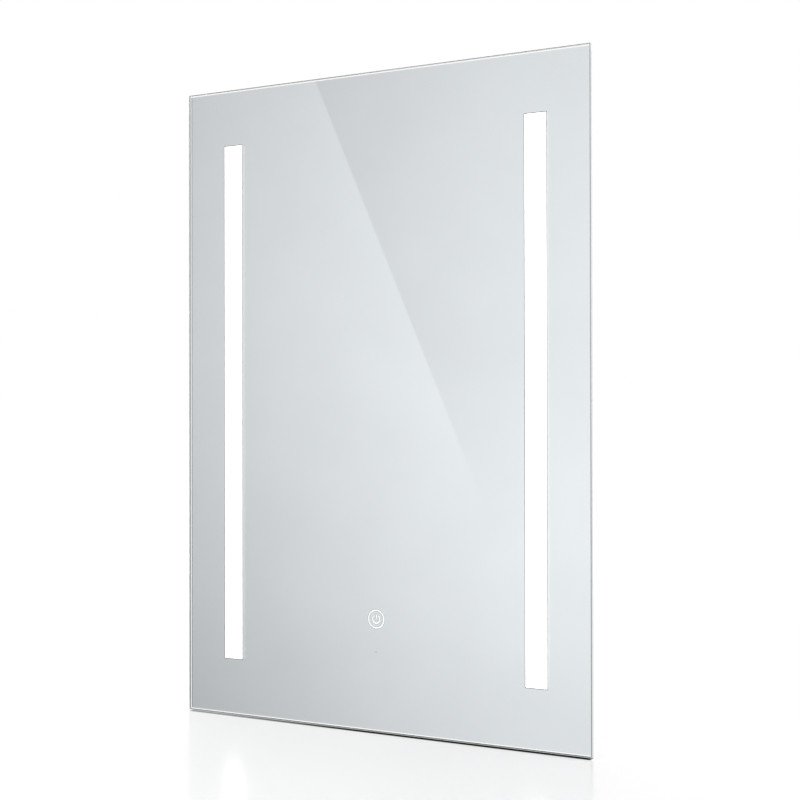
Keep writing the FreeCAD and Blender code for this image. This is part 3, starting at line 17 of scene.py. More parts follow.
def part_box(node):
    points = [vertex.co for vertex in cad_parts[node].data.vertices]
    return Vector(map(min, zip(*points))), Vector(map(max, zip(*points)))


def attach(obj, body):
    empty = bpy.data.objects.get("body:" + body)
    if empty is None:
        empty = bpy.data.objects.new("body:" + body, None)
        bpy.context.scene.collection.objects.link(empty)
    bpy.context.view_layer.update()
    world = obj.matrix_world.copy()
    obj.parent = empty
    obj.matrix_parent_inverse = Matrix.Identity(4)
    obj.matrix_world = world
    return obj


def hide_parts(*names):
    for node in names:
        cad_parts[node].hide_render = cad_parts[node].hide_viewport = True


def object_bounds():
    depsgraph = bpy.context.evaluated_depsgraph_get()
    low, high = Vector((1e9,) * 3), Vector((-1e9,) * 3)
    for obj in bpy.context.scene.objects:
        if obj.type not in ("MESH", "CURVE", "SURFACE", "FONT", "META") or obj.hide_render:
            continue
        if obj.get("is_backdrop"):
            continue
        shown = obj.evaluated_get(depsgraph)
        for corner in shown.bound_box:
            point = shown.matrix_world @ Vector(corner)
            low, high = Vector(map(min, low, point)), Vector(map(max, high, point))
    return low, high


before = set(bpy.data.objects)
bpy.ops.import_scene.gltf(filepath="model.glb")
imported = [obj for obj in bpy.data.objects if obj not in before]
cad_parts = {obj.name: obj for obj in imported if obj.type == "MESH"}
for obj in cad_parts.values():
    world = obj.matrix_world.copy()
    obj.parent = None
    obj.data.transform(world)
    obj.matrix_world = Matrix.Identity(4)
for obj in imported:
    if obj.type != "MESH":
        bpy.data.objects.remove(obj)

MM = 0.001
TURN = 2 * math.pi
Colour = tuple[float, float, float]
Point = tuple[float, float, float]
Span = tuple[float, float]
BLACK: Colour = (0.0, 0.0, 0.0)
WHITE: Colour = (1.0, 1.0, 1.0)
log = logging.getLogger("mirror")


class Axis(Enum):
    """An axis of the mirror's frame, as its index."""

    X = 0
    Y = 1
    Z = 2


class Detail(Enum):
    """How many finer layers lie over a noise."""

    SOFT = 2.0
    PLAIN = 3.0
    FINE = 4.0
    RAGGED = 5.0


class Ray(Enum):
    """A kind of light ray, as the Light Path node's output for it."""

    CAMERA = "Is Camera Ray"
    TRANSMITTED = "Is Transmission Ray"


def toned(colour: Colour, factor: float) -> Colour:
    """A colour made lighter or darker by a factor."""
    return tuple(min(channel * factor, 1.0) for channel in colour)


# ---- Shader expressions ----

class Sock:
    """An output socket whose arithmetic adds Math, Vector Math or Mix nodes to its tree."""

    def __init__(self, tree: "Tree", socket: bpy.types.NodeSocket) -> None:
        """Wrap one socket of a tree."""
        self.tree = tree
        self.socket = socket

    def _combine(self, operation: str, first: "Sock | float", second: "Sock | float") -> "Sock":
        """Add the node that combines two values, vectors or colours.

        Args:
            operation: The operation's name, which Math, Vector Math and Mix share.
            first: The left operand.
            second: The right operand.

        Returns:
            The result's socket.
        """
        kinds = {side.socket.type for side in (first, second) if isinstance(side, Sock)}
        if "RGBA" in kinds:
            return self.tree.node("ShaderNodeMix", {"data_type": "RGBA", "blend_type": operation},
                                  {0: 1.0, 6: first, 7: second}, 2)
        if "VECTOR" in kinds:
            return self.tree.node("ShaderNodeVectorMath", {"operation": operation}, {0: first, 1: second})
        return self.tree.node("ShaderNodeMath", {"operation": operation}, {0: first, 1: second})

    def __add__(self, other: "Sock | float") -> "Sock":
        """This plus another."""
        return self._combine("ADD", self, other)

    def __radd__(self, other: float) -> "Sock":
        """A number plus this."""
        return self._combine("ADD", other, self)

    def __sub__(self, other: "Sock | float") -> "Sock":
        """This less another."""
        return self._combine("SUBTRACT", self, other)

    def __rsub__(self, other: float) -> "Sock":
        """A number less this."""
        return self._combine("SUBTRACT", other, self)

    def __mul__(self, other: "Sock | float") -> "Sock":
        """This times another."""
        return self._combine("MULTIPLY", self, other)

    def __rmul__(self, other: float) -> "Sock":
        """A number times this."""
        return self._combine("MULTIPLY", other, self)

    def __gt__(self, other: "Sock | float") -> "Sock":
        """One where this is the greater, and nought elsewhere."""
        return self._combine("GREATER_THAN", self, other)

    def __abs__(self) -> "Sock":
        """This without its sign."""
        return self.maths("ABSOLUTE")

    def maths(self, operation: str, other: "Sock | float | None" = None) -> "Sock":
        """One of the Math node's functions.

        Args:
            operation: The function's name.
            other: Its second value, where it has one.

        Returns:
            The function of this.
        """
        values = {0: self} if other is None else {0: self, 1: other}
        return self.tree.node("ShaderNodeMath", {"operation": operation}, values)

    def step(self, low: float, high: float, start: float = 0.0, end: float = 1.0) -> "Sock":
        """Ease from start to end as this goes from low to high.

        Args:
            low: Where the easing starts.
            high: Where it ends.
            start: The result up to low.
            end: The result past high.

        Returns:
            The eased value.
        """
        return self.tree.node("ShaderNodeMapRange", {"interpolation_type": "SMOOTHSTEP"},
                              {"Value": self, "From Min": low, "From Max": high,
                               "To Min": start, "To Max": end})

    def blend(self, low: "Sock | Colour", high: "Sock | Colour") -> "Sock":
        """A colour that goes from low to high as this goes from nought to one."""
        return self.tree.node("ShaderNodeMix", {"data_type": "RGBA"}, {0: self, 6: low, 7: high}, 2)

    def tones(self, colour: Colour, low: float, high: float) -> "Sock":
        """One colour that goes from its low tone to its high one as this goes from nought to one."""
        return self.blend(toned(colour, low), toned(colour, high))


class Tree:
    """The nodes of one material or of the world."""

    def __init__(self, nodes: bpy.types.NodeTree) -> None:
        """Start from an empty node tree."""
        self.nodes = nodes
        self.nodes.nodes.clear()

    def node(self, kind: str, settings: dict | None = None, sockets: dict | None = None,
             out: int | str = 0) -> Sock:
        """Add a node.

        Args:
            kind: The node's type.
            settings: Its properties, which are set first.
            sockets: A number, colour, vector or link for each input, by its name or number.
            out: The output that is wanted.

        Returns:
            The wanted output.
        """
        node = self.nodes.nodes.new(kind)
        for name, value in (settings or {}).items():
            setattr(node, name, value)
        for name, value in (sockets or {}).items():
            socket = node.inputs[name]
            if isinstance(value, Sock):
                self.nodes.links.new(value.socket, socket)
            elif socket.type == "RGBA":
                socket.default_value = (*value, 1.0) if isinstance(value, tuple) else (value,) * 3 + (1.0,)
            elif socket.type == "VECTOR" and not isinstance(value, tuple):
                socket.default_value = (value,) * 3
            else:
                socket.default_value = value
        return Sock(self, node.outputs[out]) if len(node.outputs) else Sock(self, node.inputs[0])

    def split(self, vector: Sock) -> tuple[Sock, Sock, Sock]:
        """The x, y and z of a vector, as sockets."""
        outputs = self.node("ShaderNodeSeparateXYZ", None, {0: vector}).socket.node.outputs
        return tuple(Sock(self, outputs[axis.value]) for axis in Axis)

    def place(self) -> Sock:
        """The point in the piece's own frame, in metres."""
        return self.node("ShaderNodeTexCoord", out="Object")

    def axes(self) -> tuple[Sock, Sock, Sock]:
        """The x, y and z of the point in the piece's own frame."""
        return self.split(self.place())

    def ray(self, kind: Ray) -> Sock:
        """One where the light ray is of a kind, and nought elsewhere."""
        return self.node("ShaderNodeLightPath", out=kind.value)

    def noise(self, size: float | Point, detail: Detail = Detail.PLAIN, rough: float = 0.55) -> Sock:
        """Cloudy noise.

        Args:
            size: How large its features are, the same or one length for each axis.
            detail: How many finer layers lie over it.
            rough: How strong the finer layers are.

        Returns:
            A value about 0.5.
        """
        lengths = size if isinstance(size, tuple) else (size,) * 3
        rates = {axis: 1.0 / length for axis, length in enumerate(lengths)}
        scaled = self.place() * self.node("ShaderNodeCombineXYZ", None, rates)
        return self.node("ShaderNodeTexNoise", None,
                         {"Vector": scaled, "Scale": 1.0, "Detail": detail.value, "Roughness": rough})

    def cells(self, size: float, out: str = "Distance") -> Sock:
        """Voronoi cells of about a size, as the distance from each cell's middle."""
        return self.node("ShaderNodeTexVoronoi", None, {"Vector": self.place(), "Scale": 1.0 / size}, out)

    def cell_tones(self, size: float) -> Sock:
        """A random value for each Voronoi cell of about a size."""
        return self.node("ShaderNodeSeparateColor", None, {0: self.cells(size, "Color")}, "Red")

    def bump(self, height: Sock, depth: float) -> Sock:
        """A normal that is roughened by a height, in which one stands for a depth."""
        return self.node("ShaderNodeBump", None, {"Height": height, "Distance": depth, "Strength": 1.0})

    def principled(self, sockets: dict) -> Sock:
        """A Principled shader with these socket values or links."""
        return self.node("ShaderNodeBsdfPrincipled", None, sockets)

    def emit(self, strength: float, colour: Sock | Colour = WHITE) -> Sock:
        """A shader that gives light."""
        return self.node("ShaderNodeEmission", None, {"Color": colour, "Strength": strength})

    def mix(self, share: Sock | float, first: Sock, second: Sock) -> Sock:
        """A shader that goes from the first to the second as the share goes from nought to one."""
        return self.node("ShaderNodeMixShader", None, {0: share, 1: first, 2: second})

    def end(self, shader: Sock, kind: str = "Material") -> None:
        """End the tree of a material or a world in a shader."""
        self.node(f"ShaderNodeOutput{kind}", None, {0: shader})

    def surface(self, colour: Sock, rough: Sock | float, height: Sock, depth: float,
                **more: Sock | float) -> None:
        """End the tree in a Principled shader.

        Args:
            colour: Its colour.
            rough: Its roughness.
            height: The height that roughens its normal.
            depth: What a height of one stands for, in metres.
            more: Its other sockets, with an underscore for each space.
        """
        others = {name.replace("_", " "): value for name, value in more.items()}
        self.end(self.principled({"Base Color": colour, "Roughness": rough,
                                  "Normal": self.bump(height, depth), **others}))


# ---- Finishes ----

@dataclass(frozen=True)
class Finish:
    """What all finishes share: a name, the frame's material slot that they belong to, and one material."""

    name: str
    slot: str

    def shade(self, tree: Tree) -> None:
        """Fill a tree with this finish."""
        raise NotImplementedError

    def material(self) -> bpy.types.Material:
        """The finish's material, made on its first use.

        Returns:
            The one material that all pieces with this finish share.
        """
        label = f"finish_{self.name}"
        made = bpy.data.materials.get(label)
        if made is None:
            made = bpy.data.materials.new(label)
            made.use_nodes = True
            self.shade(Tree(made.node_tree))
        return made


@dataclass(frozen=True)
class FloatGlass(Finish):
    """Clear float glass whose edges are ground pale and carry a painted glow, with arrises painted grey as
    a painted dark reflection and the top chamfer painted near black as painted shade.
    """

    tint: Colour = (0.985, 0.995, 0.99)
    index: float = 1.52
    ground: Colour = (0.94, 0.97, 0.955)
    ground_dark: Colour = (0.8, 0.84, 0.82)
    ground_rough: float = 0.35
    ground_share: float = 0.85
    # Painted dark reflection of the arrises, and painted shade of the top chamfer.
    painted_arris_reflection: Colour = (0.42, 0.45, 0.44)
    painted_top_arris_shade: Colour = (0.03, 0.032, 0.032)
    # Painted glow of the ground flats and bottom chamfers.
    painted_edge_glow: float = 0.25
    grind_size: Point = (1.5 * MM, 0.25 * MM, 1.5 * MM)
    grind_depth: float = 0.02 * MM
    front_facing: Span = (0.9, 0.95)
    arris_facing: Span = (0.4, 0.5)
    above_bottom: Span = (-0.6, -0.4)
    at_top: Span = (0.4, 0.6)

    def shade(self, tree: Tree) -> None:
        """Fill a tree with clear glass, and with ground glass where it faces neither front nor back: the
        ground flats and bottom chamfers carry a painted glow, the other chamfers a painted dark reflection,
        and the top chamfer painted shade.

        Args:
            tree: The material's empty tree.
        """
        _, outward, upward = tree.split(tree.node("ShaderNodeTexCoord", out="Normal"))
        facing = abs(outward)
        bevelled = facing.step(*self.arris_facing) * upward.step(*self.above_bottom)
        # Painted shade: the top chamfer is painted near black.
        top = upward.step(*self.at_top)
        share = self.ground_share + (1 - self.ground_share) * (bevelled * top)
        edge = facing.step(*self.front_facing, 1.0, 0.0) * share
        clear = tree.principled({"Base Color": self.tint, "Roughness": 0.0, "IOR": self.index,
                                 "Transmission Weight": 1.0})
        grind = tree.noise(self.grind_size, Detail.FINE, 0.65)
        flat = grind.blend(self.ground_dark, self.ground)
        # Painted dark reflection on the chamfers, painted shade on the top chamfer, and a painted glow on
        # the ground flats and bottom chamfers.
        frost = tree.principled({"Base Color": bevelled.blend(flat, top.blend(self.painted_arris_reflection, self.painted_top_arris_shade)),
                                 "Roughness": self.ground_rough + 0.2 * grind,
                                 "Emission Color": bevelled.blend(self.ground, BLACK),
                                 "Emission Strength": self.painted_edge_glow,
                                 "Normal": tree.bump(grind, self.grind_depth)})
        tree.end(tree.mix(edge, clear, frost))


@dataclass(frozen=True)
class SilverCoat(Finish):
    """The bright metal coat behind the glass."""

    colour: Colour = (0.93, 0.945, 0.94)
    mottle_tone: float = 0.985
    mottle_size: float = 90 * MM

    def shade(self, tree: Tree) -> None:
        """Fill a tree with near-perfect metal that has the faintest mottle.

        Args:
            tree: The material's empty tree.
        """
        mottle = tree.noise(self.mottle_size, Detail.SOFT).tones(self.colour, self.mottle_tone, 1.0)
        tree.end(tree.principled({"Base Color": mottle, "Metallic": 1.0, "Roughness": 0.0}))


@dataclass(frozen=True)
class BackingPaint(Finish):
    """The grey protective paint over the silver, with a darker sealed border."""

    half_width: float
    half_height: float
    middle_z: float
    colour: Colour = (0.235, 0.25, 0.255)
    lighter: float = 1.18
    darker: float = 0.8
    border: float = 7.0 * MM
    border_fade: float = 1.2 * MM
    ragged_size: float = 14 * MM
    ragged_reach: float = 2.5 * MM
    streak_size: Point = (7 * MM, 7 * MM, 240 * MM)
    cloud_size: float = 60 * MM
    speck: Colour = (0.5, 0.5, 0.5)
    speck_spacing: float = 9 * MM
    speck_patch: float = 30 * MM
    peel_size: float = 1.6 * MM
    fine_peel_size: float = 0.35 * MM
    peel_depth: float = 0.03 * MM
    gloss: float = 0.38

    def shade(self, tree: Tree) -> None:
        """Fill a tree with flow-coated paint: orange peel, faint curtain streaks and specks.

        Args:
            tree: The material's empty tree.
        """
        x, _, z = tree.axes()
        ragged = (tree.noise(self.ragged_size) - 0.5) * self.ragged_reach
        side_start = self.half_width - self.border
        end_start = self.half_height - self.border
        side = (abs(x) + ragged).step(side_start, side_start + self.border_fade)
        end = (abs(z - self.middle_z) + ragged).step(end_start, end_start + self.border_fade)
        sealed = (side + end).step(0.0, 1.0)
        streaks = tree.noise(self.streak_size, Detail.FINE)
        cloud = tree.noise(self.cloud_size, Detail.FINE)
        body = (0.55 * streaks + 0.45 * cloud).tones(self.colour, self.darker, self.lighter)
        dots = tree.cells(self.speck_spacing).step(0.05, 0.09, 1.0, 0.0)
        specks = dots * tree.noise(self.speck_patch).step(0.52, 0.6)
        body = (0.35 * specks).blend(body, self.speck)
        peel = tree.noise(self.peel_size, Detail.SOFT) + 0.3 * tree.noise(self.fine_peel_size, Detail.SOFT)
        tree.surface((0.55 * sealed).blend(body, toned(self.colour, self.darker)),
                     self.gloss + 0.16 * cloud + 0.1 * sealed, peel, self.peel_depth)


@dataclass(frozen=True)
class LitOpal(Finish):
    """Opal acrylic that glows, a little brighter over each LED."""

    pitch: float
    middle_z: float
    strength: float = 2.0
    warmth: Colour = (1.0, 0.995, 0.985)
    dimmest: float = 0.8
    level: float = 0.94
    opal: Colour = (0.9, 0.9, 0.89)
    opal_pale: Colour = (0.95, 0.95, 0.94)
    gloss: float = 0.35
    haze_size: float = 25 * MM
    grain_size: float = 0.25 * MM
    grain_depth: float = 0.01 * MM

    def shade(self, tree: Tree) -> None:
        """Fill a tree with glowing opal whose brightness ripples at the LEDs' pitch.

        Args:
            tree: The material's empty tree.
        """
        _, _, z = tree.axes()
        ripple = ((z - self.middle_z) * (TURN / self.pitch)).maths("COSINE")
        haze = tree.noise(self.haze_size)
        level = self.level + 0.02 * ripple + 0.04 * haze
        above = (level - self.dimmest) * (1 / (1 - self.dimmest))
        tree.surface(haze.blend(self.opal, self.opal_pale), self.gloss,
                     tree.noise(self.grain_size, Detail.SOFT), self.grain_depth,
                     Emission_Color=above.tones(self.warmth, self.dimmest, 1.0),
                     Emission_Strength=self.strength)


@dataclass(frozen=True)
class Anodised(Finish):
    """Satin anodised aluminium with the fine lines of extrusion along one axis."""

    along: Axis
    colour: Colour = (0.72, 0.73, 0.74)
    lighter: float = 1.06
    darker: float = 0.86
    line: float = 0.22 * MM
    line_length: float = 90 * MM
    line_depth: float = 0.006 * MM
    band: float = 1.32 * MM
    band_length: float = 225 * MM
    cloud_size: float = 35 * MM
    rub_size: float = 11 * MM
    gloss: float = 0.27

    def lengthways(self, width: float, length: float) -> Point:
        """The size of a feature that is long along the extrusion and narrow across it."""
        return tuple(length if axis is self.along else width for axis in Axis)

    def shade(self, tree: Tree) -> None:
        """Fill a tree with drawn lines, cloudy oxide and a few faint handling marks.

        Args:
            tree: The material's empty tree.
        """
        lines = tree.noise(self.lengthways(self.line, self.line_length), Detail.PLAIN, 0.65)
        bands = tree.noise(self.lengthways(self.band, self.band_length), Detail.SOFT)
        cloud = tree.noise(self.cloud_size)
        rub = tree.noise(self.rub_size, Detail.RAGGED, 0.7).step(0.6, 0.74)
        tone = 0.45 * lines + 0.35 * bands + 0.2 * cloud
        tree.surface(tone.tones(self.colour, self.darker, self.lighter),
                     self.gloss + 0.12 * lines + 0.08 * cloud + 0.1 * rub,
                     lines, self.line_depth, Metallic=1.0)


@dataclass(frozen=True)
class ZincPlate(Finish):
    """Zinc-plated steel sheet with small spangles."""

    colour: Colour = (0.66, 0.68, 0.71)
    lighter: float = 1.1
    darker: float = 0.8
    spangle: float = 3.2 * MM
    grain_size: float = 0.5 * MM
    stain_size: float = 18 * MM
    depth: float = 0.008 * MM
    gloss: float = 0.26

    def shade(self, tree: Tree) -> None:
        """Fill a tree with spangles of slightly different tone and gloss, over rolled grain.

        Args:
            tree: The material's empty tree.
        """
        spangles = tree.cell_tones(self.spangle)
        grain = tree.noise(self.grain_size)
        stain = tree.noise(self.stain_size, Detail.FINE, 0.6).step(0.48, 0.68)
        tone = 0.55 * spangles + 0.25 * grain + 0.2 * (1 - stain)
        tree.surface(tone.tones(self.colour, self.darker, self.lighter),
                     self.gloss + 0.14 * spangles + 0.1 * stain + 0.06 * grain,
                     0.7 * spangles + 0.3 * grain, self.depth, Metallic=1.0)


@dataclass(frozen=True)
class TurnedMetal(Finish):
    """Small turned and plated parts, such as screws and pins."""

    colour: Colour = (0.68, 0.69, 0.7)
    tarnish: Colour = (0.45, 0.46, 0.48)
    gloss: float = 0.24
    mark_size: Point = (0.12 * MM, 1.6 * MM, 0.12 * MM)
    mark_depth: float = 0.004 * MM
    patch_size: float = 1.8 * MM

    def shade(self, tree: Tree) -> None:
        """Fill a tree with fine turning marks and tarnish in patches.

        Args:
            tree: The material's empty tree.
        """
        marks = tree.noise(self.mark_size, Detail.SOFT)
        patch = tree.noise(self.patch_size, Detail.FINE, 0.6)
        tree.surface((0.6 * patch + 0.3 * marks).blend(self.colour, self.tarnish),
                     self.gloss + 0.2 * patch, marks, self.mark_depth, Metallic=1.0)


@dataclass(frozen=True)
class MouldedPlastic(Finish):
    """Injection-moulded plastic with a spark-eroded grain."""

    colour: Colour
    grain: float = 0.35 * MM
    depth: float = 0.012 * MM
    rough: float = 0.42
    variation: float = 0.06
    flow_size: Point = (26 * MM, 26 * MM, 60 * MM)
    dust_size: float = 7 * MM
    dust_tone: float = 0.11

    def shade(self, tree: Tree) -> None:
        """Fill a tree with grain, faint flow marks and a trace of dust.

        Args:
            tree: The material's empty tree.
        """
        grain = tree.noise(self.grain, Detail.PLAIN, 0.6)
        flow = tree.noise(self.flow_size)
        dust = tree.noise(self.dust_size, Detail.RAGGED, 0.65).step(0.55, 0.72)
        body = (0.7 * flow + 0.3 * grain).tones(self.colour, 1 - self.variation, 1 + self.variation)
        dusty = tuple(0.8 * channel + self.dust_tone for channel in self.colour)
        tree.surface((0.35 * dust).blend(body, dusty), self.rough + 0.1 * grain + 0.12 * dust,
                     grain, self.depth)


@dataclass(frozen=True)
class ClearNylon(MouldedPlastic):
    """Natural polyamide, which light enters a little way."""

    darker: float = 0.88
    cloud_size: float = 4 * MM
    light_share: float = 0.25
    light_depth: float = 2 * MM

    def shade(self, tree: Tree) -> None:
        """Fill a tree with a milky plastic that is slightly deeper in places.

        Args:
            tree: The material's empty tree.
        """
        cloud = tree.noise(self.cloud_size)
        grain = tree.noise(self.grain, Detail.SOFT)
        tree.surface(cloud.tones(self.colour, self.darker, 1.0), self.rough + 0.1 * grain,
                     grain, self.depth,
                     Subsurface_Weight=self.light_share, Subsurface_Scale=self.light_depth)


@dataclass(frozen=True)
class Rubber(Finish):
    """Matt grey rubber."""

    colour: Colour = (0.055, 0.056, 0.06)
    paler: float = 1.7
    skin_size: float = 0.3 * MM
    skin_depth: float = 0.03 * MM
    bloom_size: float = 3.5 * MM
    rough: float = 0.62

    def shade(self, tree: Tree) -> None:
        """Fill a tree with a dry skin that has bloomed a little paler in places.

        Args:
            tree: The material's empty tree.
        """
        skin = tree.noise(self.skin_size, Detail.PLAIN, 0.7)
        bloom = tree.noise(self.bloom_size, Detail.FINE)
        tree.surface((0.6 * bloom + 0.2 * skin).tones(self.colour, 1.0, self.paler),
                     self.rough + 0.2 * skin, skin, self.skin_depth)


@dataclass(frozen=True)
class FoamTape(Finish):
    """Double-sided foam tape, whose cut edge shows its cells."""

    colour: Colour = (0.8, 0.8, 0.78)
    darker: float = 0.72
    cell_size: float = 0.28 * MM
    cell_depth: float = 0.06 * MM
    cloud_size: float = 8 * MM
    rough: float = 0.75

    def shade(self, tree: Tree) -> None:
        """Fill a tree with small open cells in off-white foam.

        Args:
            tree: The material's empty tree.
        """
        cells = tree.cells(self.cell_size).step(0.1, 0.6)
        tone = 0.6 * cells + 0.4 * tree.noise(self.cloud_size)
        tree.surface(tone.tones(self.colour, self.darker, 1.0), self.rough, cells, self.cell_depth)


@dataclass(frozen=True)
class CircuitBoard(Finish):
    """A printed circuit board: masked copper tracks with tinned pads."""

    mask: Colour = (0.02, 0.17, 0.07)
    track: Colour = (0.04, 0.27, 0.1)
    pad: Colour = (0.72, 0.7, 0.66)
    pad_metal: float = 0.85
    pitch: float = 2.54 * MM
    block_size: float = 9 * MM
    weave_size: float = 0.6 * MM
    track_depth: float = 0.035 * MM
    gloss: float = 0.26

    def shade(self, tree: Tree) -> None:
        """Fill a tree with tracks that run in blocks along either axis, and pads on a grid.

        Args:
            tree: The material's empty tree.
        """
        x, _, z = tree.axes()
        block = tree.cell_tones(self.block_size)
        across = (x * (TURN / self.pitch)).maths("SINE")
        along = (z * (TURN / self.pitch)).maths("SINE")
        turned = block > 0.5
        tracks = (turned * across + (1 - turned) * along).step(0.25, 0.4)
        pads = (across * along).step(0.86, 0.92) * (block > 0.35)
        weave = tree.noise(self.weave_size, Detail.SOFT)
        body = (tracks * (0.7 + 0.3 * weave)).blend(self.mask, self.track)
        tree.surface(pads.blend(body, self.pad), self.gloss + 0.08 * weave, tracks + pads, self.track_depth,
                     Metallic=self.pad_metal * pads)


@dataclass(frozen=True)
class LedChip(Finish):
    """An LED's white body with its yellow phosphor, lit."""

    phosphor: Colour = (0.95, 0.78, 0.25)
    body: Colour = (0.95, 0.93, 0.86)
    warm_light: Colour = (1.0, 0.9, 0.7)
    light: Colour = (1.0, 0.97, 0.9)
    strength: float = 6.0
    gloss: float = 0.3
    grain_size: float = 0.2 * MM
    grain_depth: float = 0.02 * MM
    pale_size: float = 1.1 * MM

    def shade(self, tree: Tree) -> None:
        """Fill a tree with phosphor that is uneven and glows.

        Args:
            tree: The material's empty tree.
        """
        grain = tree.noise(self.grain_size, Detail.SOFT)
        pale = tree.noise(self.pale_size, Detail.SOFT).step(0.4, 0.6)
        tree.surface(pale.blend(self.phosphor, self.body), self.gloss, grain, self.grain_depth,
                     Emission_Color=grain.blend(self.warm_light, self.light),
                     Emission_Strength=self.strength)


@dataclass(frozen=True)
class WoundCore(Finish):
    """A transformer: dark ferrite with a taped winding between its cheeks."""

    middle_x: float
    ferrite: Colour = (0.045, 0.046, 0.05)
    tape: Colour = (0.62, 0.43, 0.05)
    tape_darker: float = 0.8
    taped_reach: Span = (4.0 * MM, 4.6 * MM)
    lap: float = 0.9 * MM
    grain_size: float = 0.3 * MM
    depth: float = 0.03 * MM
    rough: float = 0.55

    def shade(self, tree: Tree) -> None:
        """Fill a tree with yellow tape round the middle and sintered ferrite at the ends.

        Args:
            tree: The material's empty tree.
        """
        x, _, z = tree.axes()
        taped = abs(x - self.middle_x).step(*self.taped_reach, 1.0, 0.0)
        grain = tree.noise(self.grain_size)
        laps = (z * (TURN / self.lap)).maths("SINE").step(-0.2, 0.3)
        tape = laps.tones(self.tape, self.tape_darker, 1.0)
        tree.surface(taped.blend(self.ferrite, tape), self.rough - 0.25 * taped,
                     grain + taped * laps, self.depth)


@dataclass(frozen=True)
class ShrinkSleeve(Finish):
    """A capacitor's shrink sleeve, dark with one pale stripe."""

    colour: Colour = (0.015, 0.018, 0.05)
    stripe: Colour = (0.5, 0.52, 0.55)
    stripe_start: float = -12.5 * MM
    crease_size: Point = (0.5 * MM, 4 * MM, 4 * MM)
    crease_depth: float = 0.03 * MM
    gloss: float = 0.16

    def shade(self, tree: Tree) -> None:
        """Fill a tree with a glossy sleeve that is creased towards its ends.

        Args:
            tree: The material's empty tree.
        """
        _, y, _ = tree.axes()
        crease = tree.noise(self.crease_size, Detail.SOFT)
        tree.surface((y > self.stripe_start).blend(self.colour, self.stripe), self.gloss + 0.1 * crease,
                     crease, self.crease_depth)


@dataclass(frozen=True)
class CableSheath(Finish):
    """White PVC sheath with a soft gloss."""

    colour: Colour = (0.83, 0.835, 0.83)
    darker: float = 0.9
    scuffed: Colour = (0.5, 0.5, 0.49)
    skin_size: float = 0.5 * MM
    skin_depth: float = 0.02 * MM
    scuff_size: float = 6 * MM
    cloud_size: float = 22 * MM
    gloss: float = 0.36

    def shade(self, tree: Tree) -> None:
        """Fill a tree with a smooth sheath that has scuffs and a fine skin.

        Args:
            tree: The material's empty tree.
        """
        skin = tree.noise(self.skin_size)
        scuff = tree.noise(self.scuff_size, Detail.RAGGED, 0.7).step(0.58, 0.75)
        cloud = tree.noise(self.cloud_size)
        body = cloud.tones(self.colour, self.darker, 1.0)
        tree.surface((0.25 * scuff).blend(body, self.scuffed), self.gloss + 0.1 * skin + 0.15 * scuff,
                     skin + 0.4 * cloud, self.skin_depth)


BRASS_SCREW = TurnedMetal("brass_screw", "brass", (0.75, 0.56, 0.25), (0.5, 0.33, 0.13))
BUMPER_RUBBER = Rubber("bumper_rubber", "grey_rubber")
FOAM = FoamTape("bonding_foam", "foam_tape")
GREEN_BOARD = CircuitBoard("green_board", "green_board")
LED_PHOSPHOR = LedChip("led_phosphor", "led_chip")
PLATED_SCREW = TurnedMetal("plated_screw", "zinc_steel")
TERMINAL_CASE = MouldedPlastic("terminal_case", "box_plastic", (0.62, 0.635, 0.64), 0.45 * MM, 0.02 * MM)
WHITE_ABS = MouldedPlastic("white_abs", "white_plastic", (0.78, 0.785, 0.78))
ZINC_SHEET = ZincPlate("zinc_sheet", "zinc_steel")


# ---- Dressing the frame's nodes ----

WELD_REACH = 0.002 * MM
FLAT_ANGLE = math.radians(0.3)
SHARP_ANGLE = math.radians(35)


def middle_of(node: str) -> Point:
    """The middle of a node's box."""
    return tuple((low + high) / 2 for low, high in zip(*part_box(node)))


def dress(finish: Finish, edge: float, *nodes: str, segments: int = 2, merge_flats: bool = True) -> None:
    """Give nodes of the frame their finish, and break their sharp edges.

    Args:
        finish: The finish.
        edge: The radius that sharp edges are rounded to, or nought to leave them.
        nodes: The nodes' names.
        segments: How many facets each rounded edge has.
        merge_flats: Whether the triangles of each flat face are merged before its edges are rounded.
    """
    for node in nodes:
        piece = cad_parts[node]
        for slot in piece.material_slots:
            slot.link = "OBJECT"
            slot.material = finish.material()
        log.info("%s: %s, edges of %.2f mm", node, finish.name, edge / MM)
        if edge == 0.0:
            continue
        weld = piece.modifiers.new("weld", "WELD")
        weld.merge_threshold = WELD_REACH
        if merge_flats:
            flatten = piece.modifiers.new("flatten", "DECIMATE")
            flatten.decimate_type = "DISSOLVE"
            flatten.angle_limit = FLAT_ANGLE
        rounded = piece.modifiers.new("round", "BEVEL")
        rounded.width = edge
        rounded.segments = segments
        rounded.limit_method = "ANGLE"
        rounded.angle_limit = SHARP_ANGLE
        rounded.harden_normals = True
        rounded.miter_outer = "MITER_ARC"


def add_piece(name: str, mesh: bmesh.types.BMesh, finish: Finish, body: str, replaced: str) -> None:
    """Make a new piece that stands for a node.

    Args:
        name: The piece's name.
        mesh: Its mesh, in metres, which is freed.
        finish: Its finish.
        body: The body that it moves with.
        replaced: The node of the frame that it stands for.
    """
    data = bpy.data.meshes.new(name)
    bmesh.ops.recalc_face_normals(mesh, faces=mesh.faces)
    mesh.to_mesh(data)
    mesh.free()
    data.materials.append(finish.material())
    piece = bpy.data.objects.new(name, data)
    bpy.context.scene.collection.objects.link(piece)
    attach(piece, body)
    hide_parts(replaced)
    log.info("%s: %s, %d faces", name, finish.name, len(data.polygons))


# ---- The glass and its coats ----

